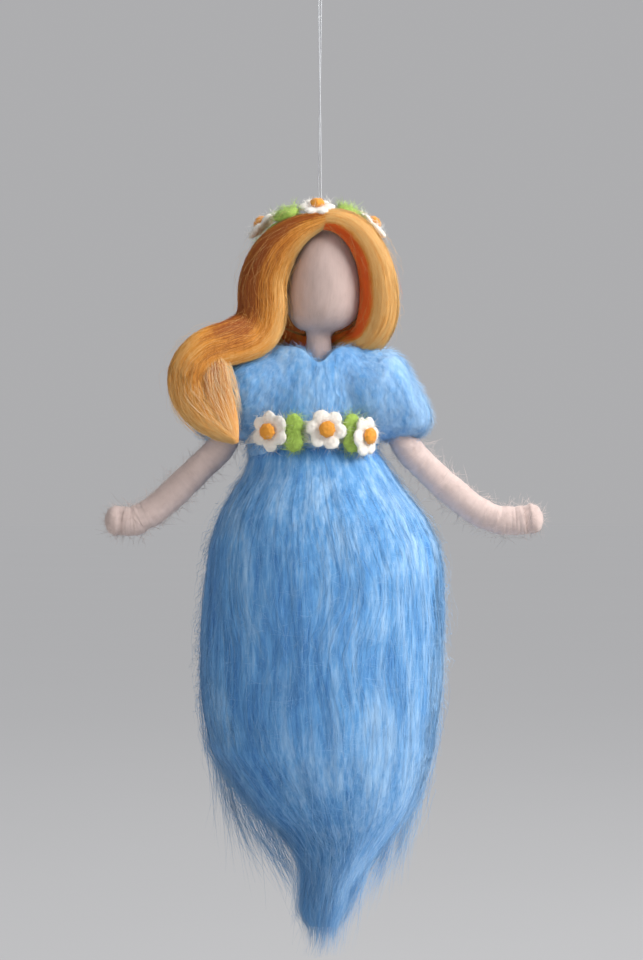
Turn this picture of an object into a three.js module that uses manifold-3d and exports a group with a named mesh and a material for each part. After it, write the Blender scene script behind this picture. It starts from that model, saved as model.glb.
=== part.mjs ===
// Needle-felted wool doll that hangs on a doubled nylon thread. Millimetres, +Z up, +X to the
// viewer's right, +Y away from the viewer. The origin is where the hook bears in the thread's loop.
import * as THREE from 'three';
import { mergeVertices } from 'three/addons/utils/BufferGeometryUtils.js';
import Module from 'manifold-3d';

const wasm = await Module();
wasm.setup();

// Clearances
const seat = 0.3;            // between pieces that touch
const turning = 0.35;        // between a sleeve and the bodice that it turns in
const windingGap = 0.42;     // between neighbouring turns of a tie

// Hanging thread
const threadDiameter = 0.35;
const strandSpacing = 0.7;   // between the centre lines of the two strands
const loopLength = 14;
const loopWidth = 5.2;
const knotWidth = 1.9;
const strandLength = 64;
const strandSteps = 16;
const stitchDepth = 8;       // how far the thread is sewn into the head

// Head and neck
const headWidth = 19.8;
const headDepth = 19.2;
const headHeight = 26.8;
const headX = 1.5;           // the head leans a little to the viewer's right
const headY = -2;            // the face stands forward of the thread
const skinThickness = 1.2;
const neckWidth = 6.5;
const neckTieThread = 0.5;
const neckTieTurns = 3;

// Bodice
const neckShowing = 2.9;     // from the chin down to the shoulders
const bodiceLength = 30.1;
const bodiceWidth = 34.6;
const bodiceDepth = 25;
const bodiceX = -2;
const chestCoreWidth = 12;
const chestCoreDepth = 11;
const necklineDrop = 4.6;    // the front of the neckline, below the shoulders

// Sleeves and arms
const sleeveDiameter = 22;
const sleeveDepth = 20;
const sleeveGatherDepth = 0.45;
const sleeveGathers = 10;
const shoulderDrop = 15;      // from the shoulders' top down to the shoulder pivot
const shoulderSpan = 41;
const armDiameter = 7.5;
const armY = -0.5;
const wireDiameter = 1.2;
const handLength = 5.2;
const handDiameter = 7.7;
const wireFoldBack = 3.2;    // the wire's end, turned back inside the hand
const wireFoldRadius = 1.15;
const wireFoldHeight = 2.65;
const elbowBend = 60;        // degrees, the most that an elbow bends
const armLowering = 6;       // degrees that an arm can be lowered from the photographed pose

// Skirt
const skirtLength = 122.5;
const skirtWidth = 65;
const skirtDepth = 50;
const skirtSwayAngle = 6;    // degrees of slope on the skirt's top, which lets it sway
const skirtFolds = 9;
const skirtFoldDepth = 1.5;
const innerRovingLength = 66;
const innerRovingWidth = 22;

// Waist tie and belt
const waistTieThread = 0.42;
const waistTieTurns = 3;
const beltHeight = 7.2;
const beltThickness = 1.3;

// Hair and wreath
const hairTopThickness = 3;
const hairWidth = 33.4;
const hairDepth = 27;
const hairHeight = 31;
const hairX = -0.7;
const hairY = 0.5;
const wreathCordDiameter = 1.8;
const wreathFlowers = 5;

// Felt flowers and leaves
const beltFlowerDiameter = 10.8;
const wreathFlowerDiameter = 9.6;
const petalThickness = 1.7;
const petalsPerFlower = 6;
const beltFlowerCentre = 4.6;
const wreathFlowerCentre = 4;

// Facets round the larger forms
const capFacets = 22;
const bodiceFacets = 22;
const skirtFacets = 36;
const beltFacets = 30;
const wreathFacets = 30;

// Heights, worked down from the loop
const knotZ = -loopLength - knotWidth / 2;
const strandTopZ = knotZ - knotWidth / 2 - seat;
const crownZ = strandTopZ - strandLength - seat;
const headTopZ = crownZ - hairTopThickness;
const headZ = headTopZ - headHeight / 2;
const chinZ = headTopZ - headHeight;
const shoulderTopZ = chinZ - neckShowing;
const shoulderZ = shoulderTopZ - shoulderDrop;
const waistZ = shoulderTopZ - bodiceLength;
const skirtTopZ = waistZ - seat;
const hairZ = crownZ - hairHeight / 2;

const degrees = THREE.MathUtils.degToRad;
const vector = (x, y, z) => new THREE.Vector3(x, y, z);

// Materials
const felt = (name, colour) =>
  new THREE.MeshStandardMaterial({ name, color: colour, roughness: 0.95, metalness: 0 });
const nylon = new THREE.MeshStandardMaterial({
  name: 'nylon',
  color: 0xdfe3e6,
  roughness: 0.25,
  metalness: 0,
});
const wire = new THREE.MeshStandardMaterial({
  name: 'wire',
  color: 0xb9bcc0,
  roughness: 0.4,
  metalness: 1,
});
const skinWool = felt('skin_wool', 0xf0d3c8);
const coreWool = felt('core_wool', 0xece6da);
const blueWool = felt('blue_wool', 0x6fa6dd);
const blueTie = felt('blue_tie', 0x4d7fb4);
const paleRoving = felt('pale_roving', 0xa9c6e6);
const hairWool = felt('hair_wool', 0xe8a04c);
const whiteFelt = felt('white_felt', 0xefece4);
const orangeFelt = felt('orange_felt', 0xe8932a);
const leafFelt = felt('leaf_felt', 0x94b74a);

// A closed mesh as a solid that can be cut and joined.
function solid(geometry) {
  const bare = new THREE.BufferGeometry();
  bare.setAttribute('position', geometry.getAttribute('position').clone());
  bare.setIndex(geometry.getIndex());
  const merged = mergeVertices(bare, 1e-4);
  return new wasm.Manifold(new wasm.Mesh({
    numProp: 3,
    vertProperties: Float32Array.from(merged.getAttribute('position').array),
    triVerts: Uint32Array.from(merged.getIndex().array),
  }));
}

// A solid back as a mesh.
function surface(manifold) {
  const mesh = manifold.getMesh();
  const geometry = new THREE.BufferGeometry();
  geometry.setAttribute('position', new THREE.BufferAttribute(mesh.vertProperties, 3));
  geometry.setIndex(new THREE.BufferAttribute(mesh.triVerts, 1));
  geometry.computeVertexNormals();
  return geometry;
}

// The largest body of a solid, without the crumbs that a cut can leave beside it.
function mainBody(manifold) {
  const bodies = manifold.decompose();
  return bodies.reduce((most, body) => (body.volume() > most.volume() ? body : most));
}

// A form with each cutter taken out of it.
function cut(form, ...cutters) {
  const left = cutters.reduce((rest, cutter) => rest.subtract(solid(cutter)), solid(form));
  return surface(mainBody(left));
}

// An ellipsoid with its poles up and down.
function ellipsoid(centre, width, depth, height, around = 20, up = 12) {
  const geometry = new THREE.SphereGeometry(0.5, around, up);
  geometry.rotateX(Math.PI / 2);
  geometry.scale(width, depth, height);
  geometry.translate(centre.x, centre.y, centre.z);
  return geometry;
}

// A closed skin over rings of points. The two ends close on a point each, or the last ring meets
// the first.
function skinOver(rings, isClosed = false) {
  const around = rings[0].length;
  const points = rings.flat();
  const faces = [];
  const last = isClosed ? rings.length : rings.length - 1;
  for (let i = 0; i < last; i += 1) {
    const next = (i + 1) % rings.length;
    for (let j = 0; j < around; j += 1) {
      const k = (j + 1) % around;
      faces.push(i * around + j, i * around + k, next * around + k);
      faces.push(i * around + j, next * around + k, next * around + j);
    }
  }
  if (!isClosed) {
    const start = rings[0];
    const end = rings[rings.length - 1];
    const middle = (ring) => ring
      .reduce((sum, point) => sum.add(point), vector(0, 0, 0))
      .divideScalar(ring.length);
    points.push(middle(start), middle(end));
    const firstOfEnd = (rings.length - 1) * around;
    for (let j = 0; j < around; j += 1) {
      const k = (j + 1) % around;
      faces.push(points.length - 2, k, j);
      faces.push(points.length - 1, firstOfEnd + j, firstOfEnd + k);
    }
  }
  const geometry = new THREE.BufferGeometry().setFromPoints(points);
  let volume = 0;
  for (let i = 0; i < faces.length; i += 3) {
    const [a, b, c] = [points[faces[i]], points[faces[i + 1]], points[faces[i + 2]]];
    volume += a.dot(b.clone().cross(c));
  }
  if (volume < 0) {
    faces.reverse();
  }
  geometry.setIndex(faces);
  geometry.computeVertexNormals();
  return geometry;
}

// Rows of numbers smoothly filled in between, count rows in all.
function smoothRows(rows, count) {
  const row = (index) => rows[THREE.MathUtils.clamp(index, 0, rows.length - 1)];
  return Array.from({ length: count }, (_, step) => {
    const place = (step / (count - 1)) * (rows.length - 1);
    const index = Math.min(Math.floor(place), rows.length - 2);
    const t = place - index;
    return row(index).map((value, column) => {
      const before = row(index - 1)[column];
      const next = row(index + 1)[column];
      const after = row(index + 2)[column];
      const bend = 2 * before - 5 * value + 4 * next - after;
      const twist = -before + 3 * value - 3 * next + after;
      return value + 0.5 * t * (next - before + t * (bend + t * twist));
    });
  });
}

// A swelling, tapering form along a path. Each row is x, y, z, half width and half depth. The
// width lies square to the path in the XZ plane, and the depth is nearest to Y.
function taperedForm(rows, count, sides, grow = 0) {
  const filled = smoothRows(rows, count);
  const centres = filled.map(([x, y, z]) => vector(x, y, z));
  const rings = filled.map(([, , , width, depth], i) => {
    const before = centres[Math.max(i - 1, 0)];
    const after = centres[Math.min(i + 1, centres.length - 1)];
    const along = after.clone().sub(before).normalize();
    const across = vector(0, 1, 0).cross(along).normalize();
    const deep = along.clone().cross(across).normalize();
    return Array.from({ length: sides }, (_, j) => {
      const angle = (j / sides) * 2 * Math.PI;
      return centres[i].clone()
        .addScaledVector(across, (width + grow) * Math.cos(angle))
        .addScaledVector(deep, (depth + grow) * Math.sin(angle));
    });
  });
  return skinOver(rings);
}

// A cord of one thickness along a curve.
function cord(curve, diameter, steps, sides = 8) {
  const outline = Array.from({ length: sides }, (_, i) => {
    const angle = (i / sides) * 2 * Math.PI;
    return new THREE.Vector2(Math.cos(angle), Math.sin(angle)).multiplyScalar(diameter / 2);
  });
  return new THREE.ExtrudeGeometry(new THREE.Shape(outline), {
    steps,
    bevelEnabled: false,
    extrudePath: curve,
  });
}

// A tie wound round an oval form: one unbroken thread whose turns climb a pitch each.
function winding({ x, y, topZ, width, depth, thread, turns, stepsPerTurn, sides }) {
  const pitch = thread + windingGap;
  const steps = turns * stepsPerTurn;
  const points = Array.from({ length: steps + 1 }, (_, i) => {
    const angle = (i / stepsPerTurn) * 2 * Math.PI;
    return vector(
      x + (width / 2 + thread / 2) * Math.sin(angle),
      y + (depth / 2 + thread / 2) * Math.cos(angle),
      topZ - thread / 2 - (pitch * i) / stepsPerTurn,
    );
  });
  let leastGap = Infinity;
  for (let i = 0; i < points.length; i += 1) {
    for (let j = i + Math.round(stepsPerTurn / 2); j < points.length; j += 1) {
      leastGap = Math.min(leastGap, points[i].distanceTo(points[j]) - thread);
    }
  }
  return { geometry: cord(new THREE.CatmullRomCurve3(points), thread, steps, sides), leastGap };
}

const doll = new THREE.Group();

function piece(name, geometry, material, parent = doll) {
  const mesh = new THREE.Mesh(geometry, material.clone());
  mesh.name = name;
  parent.add(mesh);
  return mesh;
}

// Hanging thread: a loop for the hook, its knot, two strands with a half twist between them, and
// the stitch through the crown of the head
function addThread() {
  const loopTop = threadDiameter / 2;
  const loopFoot = -loopLength + seat;
  const loopCurve = new THREE.CatmullRomCurve3([
    vector(-strandSpacing / 2, 0, loopFoot),
    vector(-loopWidth * 0.24, 0, -loopLength * 0.8),
    vector(-loopWidth * 0.44, 0, -loopLength * 0.52),
    vector(-loopWidth * 0.49, 0, -loopLength * 0.27),
    vector(-loopWidth * 0.33, 0, -loopLength * 0.07),
    vector(0, 0, loopTop),
    vector(loopWidth * 0.33, 0, -loopLength * 0.07),
    vector(loopWidth * 0.49, 0, -loopLength * 0.27),
    vector(loopWidth * 0.44, 0, -loopLength * 0.52),
    vector(loopWidth * 0.24, 0, -loopLength * 0.8),
    vector(strandSpacing / 2, 0, loopFoot),
  ]);
  piece('hanging_loop', cord(loopCurve, threadDiameter, 20), nylon);

  // The overhand knot is a trefoil, drawn up tight.
  const knotSteps = 30;
  const knotThread = threadDiameter * 1.05;
  const knotReach = knotWidth / 2 - knotThread / 2;
  const rings = Array.from({ length: knotSteps }, (_, i) => {
    const at = (step) => {
      const t = (step / knotSteps) * 2 * Math.PI;
      const out = (2 + Math.cos(3 * t)) / 3;
      return vector(
        knotReach * out * Math.cos(2 * t),
        knotReach * 0.5 * Math.sin(3 * t),
        knotZ + knotReach * out * Math.sin(2 * t),
      );
    };
    const centre = at(i);
    const along = at(i + 0.5).sub(at(i - 0.5)).normalize();
    const side = vector(0, 1, 0).cross(along).normalize();
    const up = along.clone().cross(side);
    return Array.from({ length: 5 }, (_, j) => {
      const angle = (j / 5) * 2 * Math.PI;
      return centre.clone()
        .addScaledVector(side, (knotThread / 2) * Math.cos(angle))
        .addScaledVector(up, (knotThread / 2) * Math.sin(angle));
    });
  });
  piece('thread_knot', skinOver(rings, true), nylon);

  for (const [name, turn] of [['thread_strand_left', Math.PI], ['thread_strand_right', 0]]) {
    const points = Array.from({ length: strandSteps + 1 }, (_, i) => {
      const angle = turn + (i / strandSteps) * Math.PI;
      return vector(
        (strandSpacing / 2) * Math.cos(angle),
        (strandSpacing / 2) * Math.sin(angle),
        strandTopZ - (strandLength * i) / strandSteps,
      );
    });
    piece(name, cord(new THREE.CatmullRomCurve3(points), threadDiameter, strandSteps), nylon);
  }

  const turnZ = crownZ - stitchDepth;
  const stitchCurve = new THREE.CatmullRomCurve3([
    vector(-strandSpacing / 2, 0, crownZ),
    vector(-strandSpacing / 2, 0, crownZ - stitchDepth / 2),
    vector(-strandSpacing / 2, 0, turnZ),
    vector(-strandSpacing / 4, 0, turnZ - strandSpacing * 0.42),
    vector(strandSpacing / 4, 0, turnZ - strandSpacing * 0.42),
    vector(strandSpacing / 2, 0, turnZ),
    vector(strandSpacing / 2, 0, crownZ - stitchDepth / 2),
    vector(strandSpacing / 2, 0, crownZ),
  ]);
  piece('thread_stitch', cord(stitchCurve, threadDiameter, 20, 6), nylon);
}

// The needle hole that the stitch lies in, open at the crown.
function stitchHole() {
  const radius = strandSpacing / 2 + threadDiameter / 2 + seat;
  const bottom = crownZ - stitchDepth - strandSpacing - seat;
  const top = crownZ + 2;
  const hole = new THREE.CylinderGeometry(radius, radius, top - bottom, 10);
  hole.rotateX(Math.PI / 2);
  hole.translate(0, 0, (top + bottom) / 2);
  return hole;
}

// Head, neck and chest
const headCentre = vector(headX, headY, headZ);
const neckX = (headX + bodiceX) / 2;
const neckBottomZ = shoulderTopZ - 6;

function headForm(grow, around = 20, up = 12) {
  return ellipsoid(
    headCentre,
    headWidth + 2 * grow,
    headDepth + 2 * grow,
    headHeight + 2 * grow,
    around,
    up,
  );
}

// The neck's column, from inside the head down into the chest.
function neckForm(width, bottomZ) {
  const topZ = headZ - headHeight * 0.3;
  return taperedForm([
    [headX, headY, topZ, width / 2, width / 2],
    [neckX, headY * 0.7, chinZ + 0.5, width / 2, width / 2],
    [neckX, headY / 2, shoulderTopZ + 0.6, width / 2, width / 2],
    [neckX, headY / 2, shoulderTopZ - 1, width / 2, width / 2],
    [neckX, headY / 2, bottomZ, width / 2, width / 2],
  ], 9, 12);
}

function chestCoreForm(grow) {
  const width = chestCoreWidth / 2 + grow;
  const depth = chestCoreDepth / 2 + grow;
  const topZ = neckBottomZ + 2 + grow;
  const bottomZ = waistZ + (grow > 0 ? -1 : seat);
  const chestY = headY / 2;
  return taperedForm([
    [neckX, chestY, topZ, width * 0.35, depth * 0.35],
    [neckX, chestY, topZ - 2.5, width * 0.8, depth * 0.8],
    [bodiceX, chestY, topZ - 8, width, depth],
    [bodiceX, chestY, bottomZ, width * 0.9, depth * 0.9],
  ], 6, 14);
}

function coreForm(grow) {
  return solid(headForm(grow - skinThickness - seat, 14, 9))
    .add(solid(neckForm(neckCoreWidth + 2 * grow, neckBottomZ)))
    .add(solid(chestCoreForm(grow)));
}

const neckCoreWidth = neckWidth - 2 * (skinThickness + seat);
const neckTieInset = 0.2;    // from the neck's core out to the tie

function neckTieRoom() {
  const outer = neckCoreWidth / 2 + neckTieInset + neckTieThread + seat;
  const height = neckTieTurns * (neckTieThread + windingGap) + neckTieThread + 2 * seat;
  const room = new THREE.CylinderGeometry(outer, outer, height, 12);
  room.rotateX(Math.PI / 2);
  room.translate(neckX, headY / 2, shoulderTopZ - height / 2);
  return room;
}

function addHead() {
  const core = coreForm(0)
    .subtract(solid(stitchHole()))
    .subtract(solid(wireHole()));
  piece('wool_core', surface(core), coreWool);

  const skin = solid(headForm(0))
    .add(solid(neckForm(neckWidth, neckBottomZ + 1)))
    .subtract(coreForm(seat))
    .subtract(solid(neckTieRoom()))
    .subtract(solid(stitchHole()));
  piece('face_skin', surface(skin), skinWool);

  const tie = winding({
    x: neckX,
    y: headY / 2,
    topZ: shoulderTopZ - seat,
    width: neckCoreWidth + 2 * neckTieInset,
    depth: neckCoreWidth + 2 * neckTieInset,
    thread: neckTieThread,
    turns: neckTieTurns,
    stepsPerTurn: 10,
    sides: 5,
  });
  console.log(`neck tie: least gap to itself ${tie.leastGap.toFixed(2)} mm`);
  piece('neck_tie', tie.geometry, coreWool);
}

// Bodice: rows are height as a share of the length, half width and half depth as shares
const bodiceShares = [
  [0, 0.42, 0.34],
  [0.02, 0.62, 0.5],
  [0.1, 0.82, 0.72],
  [0.26, 0.95, 0.9],
  [0.5, 1, 0.98],
  [0.75, 1, 1],
  [0.93, 0.98, 0.98],
  [1, 0.95, 0.96],
];

function bodiceForm(grow) {
  const rings = smoothRows(bodiceShares, 9).map(([down, wide, deep]) => {
    const x = THREE.MathUtils.lerp(neckX, bodiceX, Math.min(1, down * 3));
    const z = shoulderTopZ - down * bodiceLength + (down < 0.5 ? grow : -grow);
    return Array.from({ length: bodiceFacets }, (_, j) => {
      const angle = (j / bodiceFacets) * 2 * Math.PI;
      return vector(
        x + (wide * bodiceWidth / 2 + grow) * Math.cos(angle),
        headY / 2 + (deep * bodiceDepth / 2 + grow) * Math.sin(angle),
        z,
      );
    });
  });
  return skinOver(rings);
}

const shoulderPivot = (side) => vector(bodiceX + side * shoulderSpan / 2, armY, shoulderZ);

// A puff sleeve is round about its shoulder's axis, so that it turns in its seat.
function sleeveForm(side, grow, gatherDepth) {
  const geometry = new THREE.SphereGeometry(1, 20, 10);
  geometry.rotateZ(Math.PI / 2);
  const position = geometry.getAttribute('position');
  const pivot = shoulderPivot(side);
  for (let i = 0; i < position.count; i += 1) {
    const point = vector(position.getX(i), position.getY(i), position.getZ(i));
    const angle = Math.atan2(point.y, point.z);
    const onSleeve = THREE.MathUtils.smoothstep(Math.hypot(point.y, point.z), 0.2, 0.9);
    const gather = gatherDepth * onSleeve * (0.5 + 0.5 * Math.cos(sleeveGathers * angle));
    point.x *= sleeveDiameter / 2 + grow - gather;
    point.y *= sleeveDepth / 2 + grow - gather;
    point.z *= sleeveDiameter / 2 + grow - gather;
    point.add(pivot);
    position.setXYZ(i, point.x, point.y, point.z);
  }
  return geometry;
}

// The hole that the neck and its V-shaped neckline make in the bodice.
function necklineForm() {
  const width = neckWidth / 2 + seat;
  return taperedForm([
    [neckX, -bodiceDepth * 0.3, shoulderTopZ + 3, width + 2.6, 2.2],
    [neckX, -bodiceDepth * 0.3, shoulderTopZ - necklineDrop * 0.5, width * 0.7, 1.8],
    [neckX, -bodiceDepth * 0.3, shoulderTopZ - necklineDrop, 0.6, 1],
  ], 4, 8);
}

function addBodice() {
  const neckHole = neckForm(neckWidth + 2 * seat, neckBottomZ + 1 - seat);
  const bodice = solid(bodiceForm(0))
    .subtract(coreForm(seat))
    .subtract(solid(neckHole))
    .subtract(solid(necklineForm()))
    .subtract(solid(wireHole()))
    .subtract(solid(sleeveForm(1, turning, 0)))
    .subtract(solid(sleeveForm(-1, turning, 0)));
  piece('bodice', surface(bodice), blueWool);
}

// Arms. Points are the arm's centre line in the photograph's pose, from the shoulder pivot out to
// the hand's tip, as distances out and up from the pivot. The left arm is a little shorter
const upperArmLines = {
  left: [[0, 0], [0.9, -6.5], [3.5, -12.2], [9, -17.7], [14.3, -23]],
  right: [[0, 0], [1.8, -7], [4.9, -13], [10.2, -18.5], [15.5, -23.2]],
};
const foreArmLines = {
  left: [[14.3, -23], [20.4, -28.3], [24.6, -30.6], [28.4, -31.2], [33.4, -30.9]],
  right: [[15.5, -23.2], [22.3, -28.6], [27.8, -30.9], [33.8, -31], [39.5, -30.4]],
};

function armPoints(line, side) {
  const pivot = shoulderPivot(side);
  return line.map(([out, up]) => vector(pivot.x + side * out, pivot.y, pivot.z + up));
}

function limb(points, diameter, count, sides) {
  const rows = points.map((point) => [point.x, point.y, point.z, diameter / 2, diameter / 2]);
  return taperedForm(rows, count, sides);
}

// The upper arm's centre line, up to the rim of the elbow's cup.
function upperArmLine(name, side) {
  const points = armPoints(upperArmLines[name], side);
  const elbow = points[points.length - 1];
  const along = elbow.clone().sub(points[points.length - 2]).normalize();
  const rimBack = (armDiameter / 2) * Math.tan(degrees(elbowBend / 2)) + 2 * seat;
  return [...points.slice(0, -1), elbow.addScaledVector(along, -rimBack)];
}

// The room that an upper arm needs, lowered by an angle about its shoulder.
function armRoomForm(name, side, lowered) {
  const room = limb(upperArmLine(name, side), armDiameter + 2 * seat, 9, 14);
  const pivot = shoulderPivot(side);
  room.translate(-pivot.x, -pivot.y, -pivot.z);
  room.rotateY(side * degrees(lowered));
  room.translate(pivot.x, pivot.y, pivot.z);
  return room;
}

const wireRoom = wireDiameter + 2 * seat;

// The straight wire through the chest, from sleeve to sleeve.
function chestWireEnds() {
  const reach = sleeveDiameter / 2 + turning + seat;
  const left = shoulderPivot(-1);
  const right = shoulderPivot(1);
  return [vector(left.x + reach, armY, shoulderZ), vector(right.x - reach, armY, shoulderZ)];
}

function wireHole() {
  const [left, right] = chestWireEnds();
  return cord(new THREE.LineCurve3(left.setX(left.x - 2), right.setX(right.x + 2)), wireRoom, 1, 6);
}

function addArm(name, side) {
  const ballRadius = armDiameter / 2;
  const upperPoints = armPoints(upperArmLines[name], side);
  const forePoints = armPoints(foreArmLines[name], side);
  const elbow = forePoints[0];
  const elbowAlong = elbow.clone().sub(upperPoints[upperPoints.length - 2]).normalize();
  const tip = forePoints[forePoints.length - 1];
  const handAlong = tip.clone().sub(forePoints[forePoints.length - 2]).normalize();
  const wrist = tip.clone().addScaledVector(handAlong, -handLength);
  const beforeWrist = wrist.clone().addScaledVector(handAlong, -2.5);
  const foreLine = [elbow, ...forePoints.slice(1, -2), beforeWrist, wrist];

  // Wires: the sleeve's length, which bends at the shoulder, and the forearm's, folded in the hand
  const pivot = shoulderPivot(side);
  const innerEnd = pivot.clone().setX(pivot.x - side * (sleeveDiameter / 2 - seat));
  const upperWireEnd = elbow.clone().addScaledVector(elbowAlong, -ballRadius - 2 * seat);
  const upperWireLine = new THREE.CatmullRomCurve3([
    innerEnd,
    innerEnd.clone().lerp(pivot, 0.6),
    pivot.clone().lerp(upperPoints[1], 0.3),
    ...upperPoints.slice(1, -1),
    upperWireEnd,
  ]);
  const foldCentre = tip.clone().addScaledVector(handAlong, -handDiameter / 2 + wireFoldRadius);
  const folded = (along, up) => vector(foldCentre.x, foldCentre.y, foldCentre.z + up)
    .addScaledVector(handAlong, along);
  const foreAlong = forePoints[1].clone().sub(elbow).normalize();
  const foreWireStart = elbow.clone().addScaledVector(foreAlong, -ballRadius + 2 * seat);
  const foreWireLine = new THREE.CatmullRomCurve3([
    foreWireStart,
    elbow,
    ...foreLine.slice(1),
    foldCentre,
    folded(0.92, 0.7),
    folded(0.92, 1.95),
    folded(0, wireFoldHeight),
    folded(-wireFoldBack / 2, wireFoldHeight),
  ]);
  piece(`${name}_upper_wire`, cord(upperWireLine, wireDiameter, 12, 6), wire);
  piece(`${name}_fore_wire`, cord(foreWireLine, wireDiameter, 16, 6), wire);

  // The wool wound round the wires
  const upperRoom = cord(upperWireLine, wireRoom, 12, 6);
  const socketDiameter = armDiameter + 2 * seat;
  const socket = ellipsoid(elbow, socketDiameter, socketDiameter, socketDiameter, 16, 10);
  const upperWrap = limb(upperArmLine(name, side), armDiameter, 9, 14);
  piece(`${name}_upper_wrap`, cut(upperWrap, upperRoom, socket), skinWool);

  const foreRoom = cord(foreWireLine, wireRoom, 16, 6);
  const ball = ellipsoid(elbow, armDiameter, armDiameter, armDiameter, 16, 10);
  const foreWrap = solid(limb(foreLine, armDiameter, 8, 14))
    .add(solid(ball))
    .subtract(solid(foreRoom));
  piece(`${name}_fore_wrap`, surface(foreWrap), skinWool);

  // The hand: wool wound over the folded wire, swelling a little and closed round at the tip
  const r = handDiameter / 2;
  const handRows = [0, 0.16, 0.42, 0.66, 0.84, 0.95, 1].map((share) => {
    const centre = wrist.clone().addScaledVector(handAlong, seat + share * (handLength - seat));
    const swell = Math.sqrt(Math.max(0.02, 1 - Math.max(0, (share - 0.3) / 0.7) ** 2.4));
    return [centre.x, centre.y, centre.z, r * swell, r * swell];
  });
  piece(`${name}_hand`, cut(taperedForm(handRows, 8, 14), foreRoom), skinWool);

  // The puff sleeve over the top of the arm
  const sleeve = cut(sleeveForm(side, 0, sleeveGatherDepth), armRoomForm(name, side, 0), upperRoom);
  piece(`${name}_sleeve`, sleeve, blueWool);
}

function addChestWire() {
  const [left, right] = chestWireEnds();
  piece('chest_wire', cord(new THREE.LineCurve3(left, right), wireDiameter, 1, 6), wire);
}

// Skirt: share of the length, left and right half widths and half depth as shares, and how far
// the middle wanders from the waist's middle line
const skirtShares = [
  [0.02, 0.55, 0.47, 0.56, 0],
  [0.05, 0.69, 0.66, 0.7, 0],
  [0.11, 0.82, 0.83, 0.83, 0],
  [0.18, 0.92, 0.97, 0.92, 0],
  [0.24, 0.94, 1.02, 0.97, 0],
  [0.335, 0.97, 1.03, 1, 0],
  [0.43, 0.985, 1, 1, 0],
  [0.52, 0.97, 0.97, 0.97, 0],
  [0.615, 0.91, 0.92, 0.9, 0],
  [0.68, 0.84, 0.85, 0.82, 0],
  [0.74, 0.73, 0.72, 0.7, 0],
  [0.8, 0.52, 0.6, 0.53, 0.01],
  [0.855, 0.34, 0.48, 0.38, 0.03],
  [0.9, 0.2, 0.36, 0.26, 0.04],
  [0.94, 0.14, 0.19, 0.17, 0.03],
  [1, 0.02, 0.05, 0.04, 0],
];

function skirtForm() {
  const rows = smoothRows(skirtShares, 19);
  const rings = rows.map(([down, left, right, deep, shift]) => {
    const z = skirtTopZ - down * skirtLength;
    const middle = ((right - left) / 4 + shift) * skirtWidth;
    const half = ((left + right) / 4) * skirtWidth;
    const fold = skirtFoldDepth * Math.min(1, down * 2.4) * Math.min(1, half / 12);
    return Array.from({ length: skirtFacets }, (_, j) => {
      const angle = (j / skirtFacets) * 2 * Math.PI;
      const wave = Math.cos(skirtFolds * angle + 1.3 * Math.sin(2 * angle + 2 * down) + 1.5 * down);
      const inward = fold * (0.5 + 0.5 * wave);
      return vector(
        middle + (half - inward) * Math.cos(angle),
        ((deep * skirtDepth) / 2 - inward) * Math.sin(angle),
        z,
      );
    });
  });
  const slope = Math.tan(degrees(skirtSwayAngle));
  const topHalf = skirtShares[0][1] * skirtWidth / 2;
  const coneTop = rings[0].map((point) => vector(point.x * 0.06, point.y * 0.06, skirtTopZ));
  const shoulder = rings[0].map((point) => {
    const out = Math.hypot(point.x, point.y);
    return vector(point.x * 0.97, point.y * 0.97, skirtTopZ - Math.max(out, topHalf * 0.9) * slope);
  });
  return skinOver([coneTop, shoulder, ...rings.slice(1)]);
}

function innerRovingForm(grow) {
  const half = innerRovingWidth / 2 + grow;
  const topZ = skirtTopZ - (innerRovingWidth / 2) * Math.tan(degrees(skirtSwayAngle));
  const bottomZ = topZ - innerRovingLength - grow;
  const mouthZ = grow > 0 ? topZ + 3 : topZ;
  return taperedForm([
    [0, 0, mouthZ, half * 0.6, half * 0.6],
    [0, 0, topZ - 1, half * 0.62, half * 0.62],
    [0, 0, topZ - 3, half * 0.66, half * 0.66],
    [0, 0, THREE.MathUtils.lerp(topZ, bottomZ, 0.25), half * 0.9, half * 0.85],
    [0, 0, THREE.MathUtils.lerp(topZ, bottomZ, 0.6), half, half * 0.9],
    [0, 0, THREE.MathUtils.lerp(topZ, bottomZ, 0.9), half * 0.6, half * 0.5],
    [0, 0, bottomZ, half * 0.2, half * 0.2],
  ], 13, 14);
}

function addSkirt() {
  piece('inner_roving', innerRovingForm(0), paleRoving);
  piece('skirt', cut(skirtForm(), innerRovingForm(seat)), blueWool);
}

// Waist tie and belt
const beltBottomZ = waistZ + waistTieTurns * (waistTieThread + windingGap) + waistTieThread + seat;
const beltTopZ = beltBottomZ + beltHeight;

function beltRing(topZ, bottomZ, grow) {
  const ring = (z) => Array.from({ length: beltFacets }, (_, j) => {
    const angle = (j / beltFacets) * 2 * Math.PI;
    return vector(
      bodiceX + (bodiceWidth / 2 + grow) * Math.cos(angle),
      headY / 2 + (bodiceDepth / 2 + grow) * Math.sin(angle),
      z,
    );
  });
  return skinOver([ring(topZ), ring(bottomZ)]);
}

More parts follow.
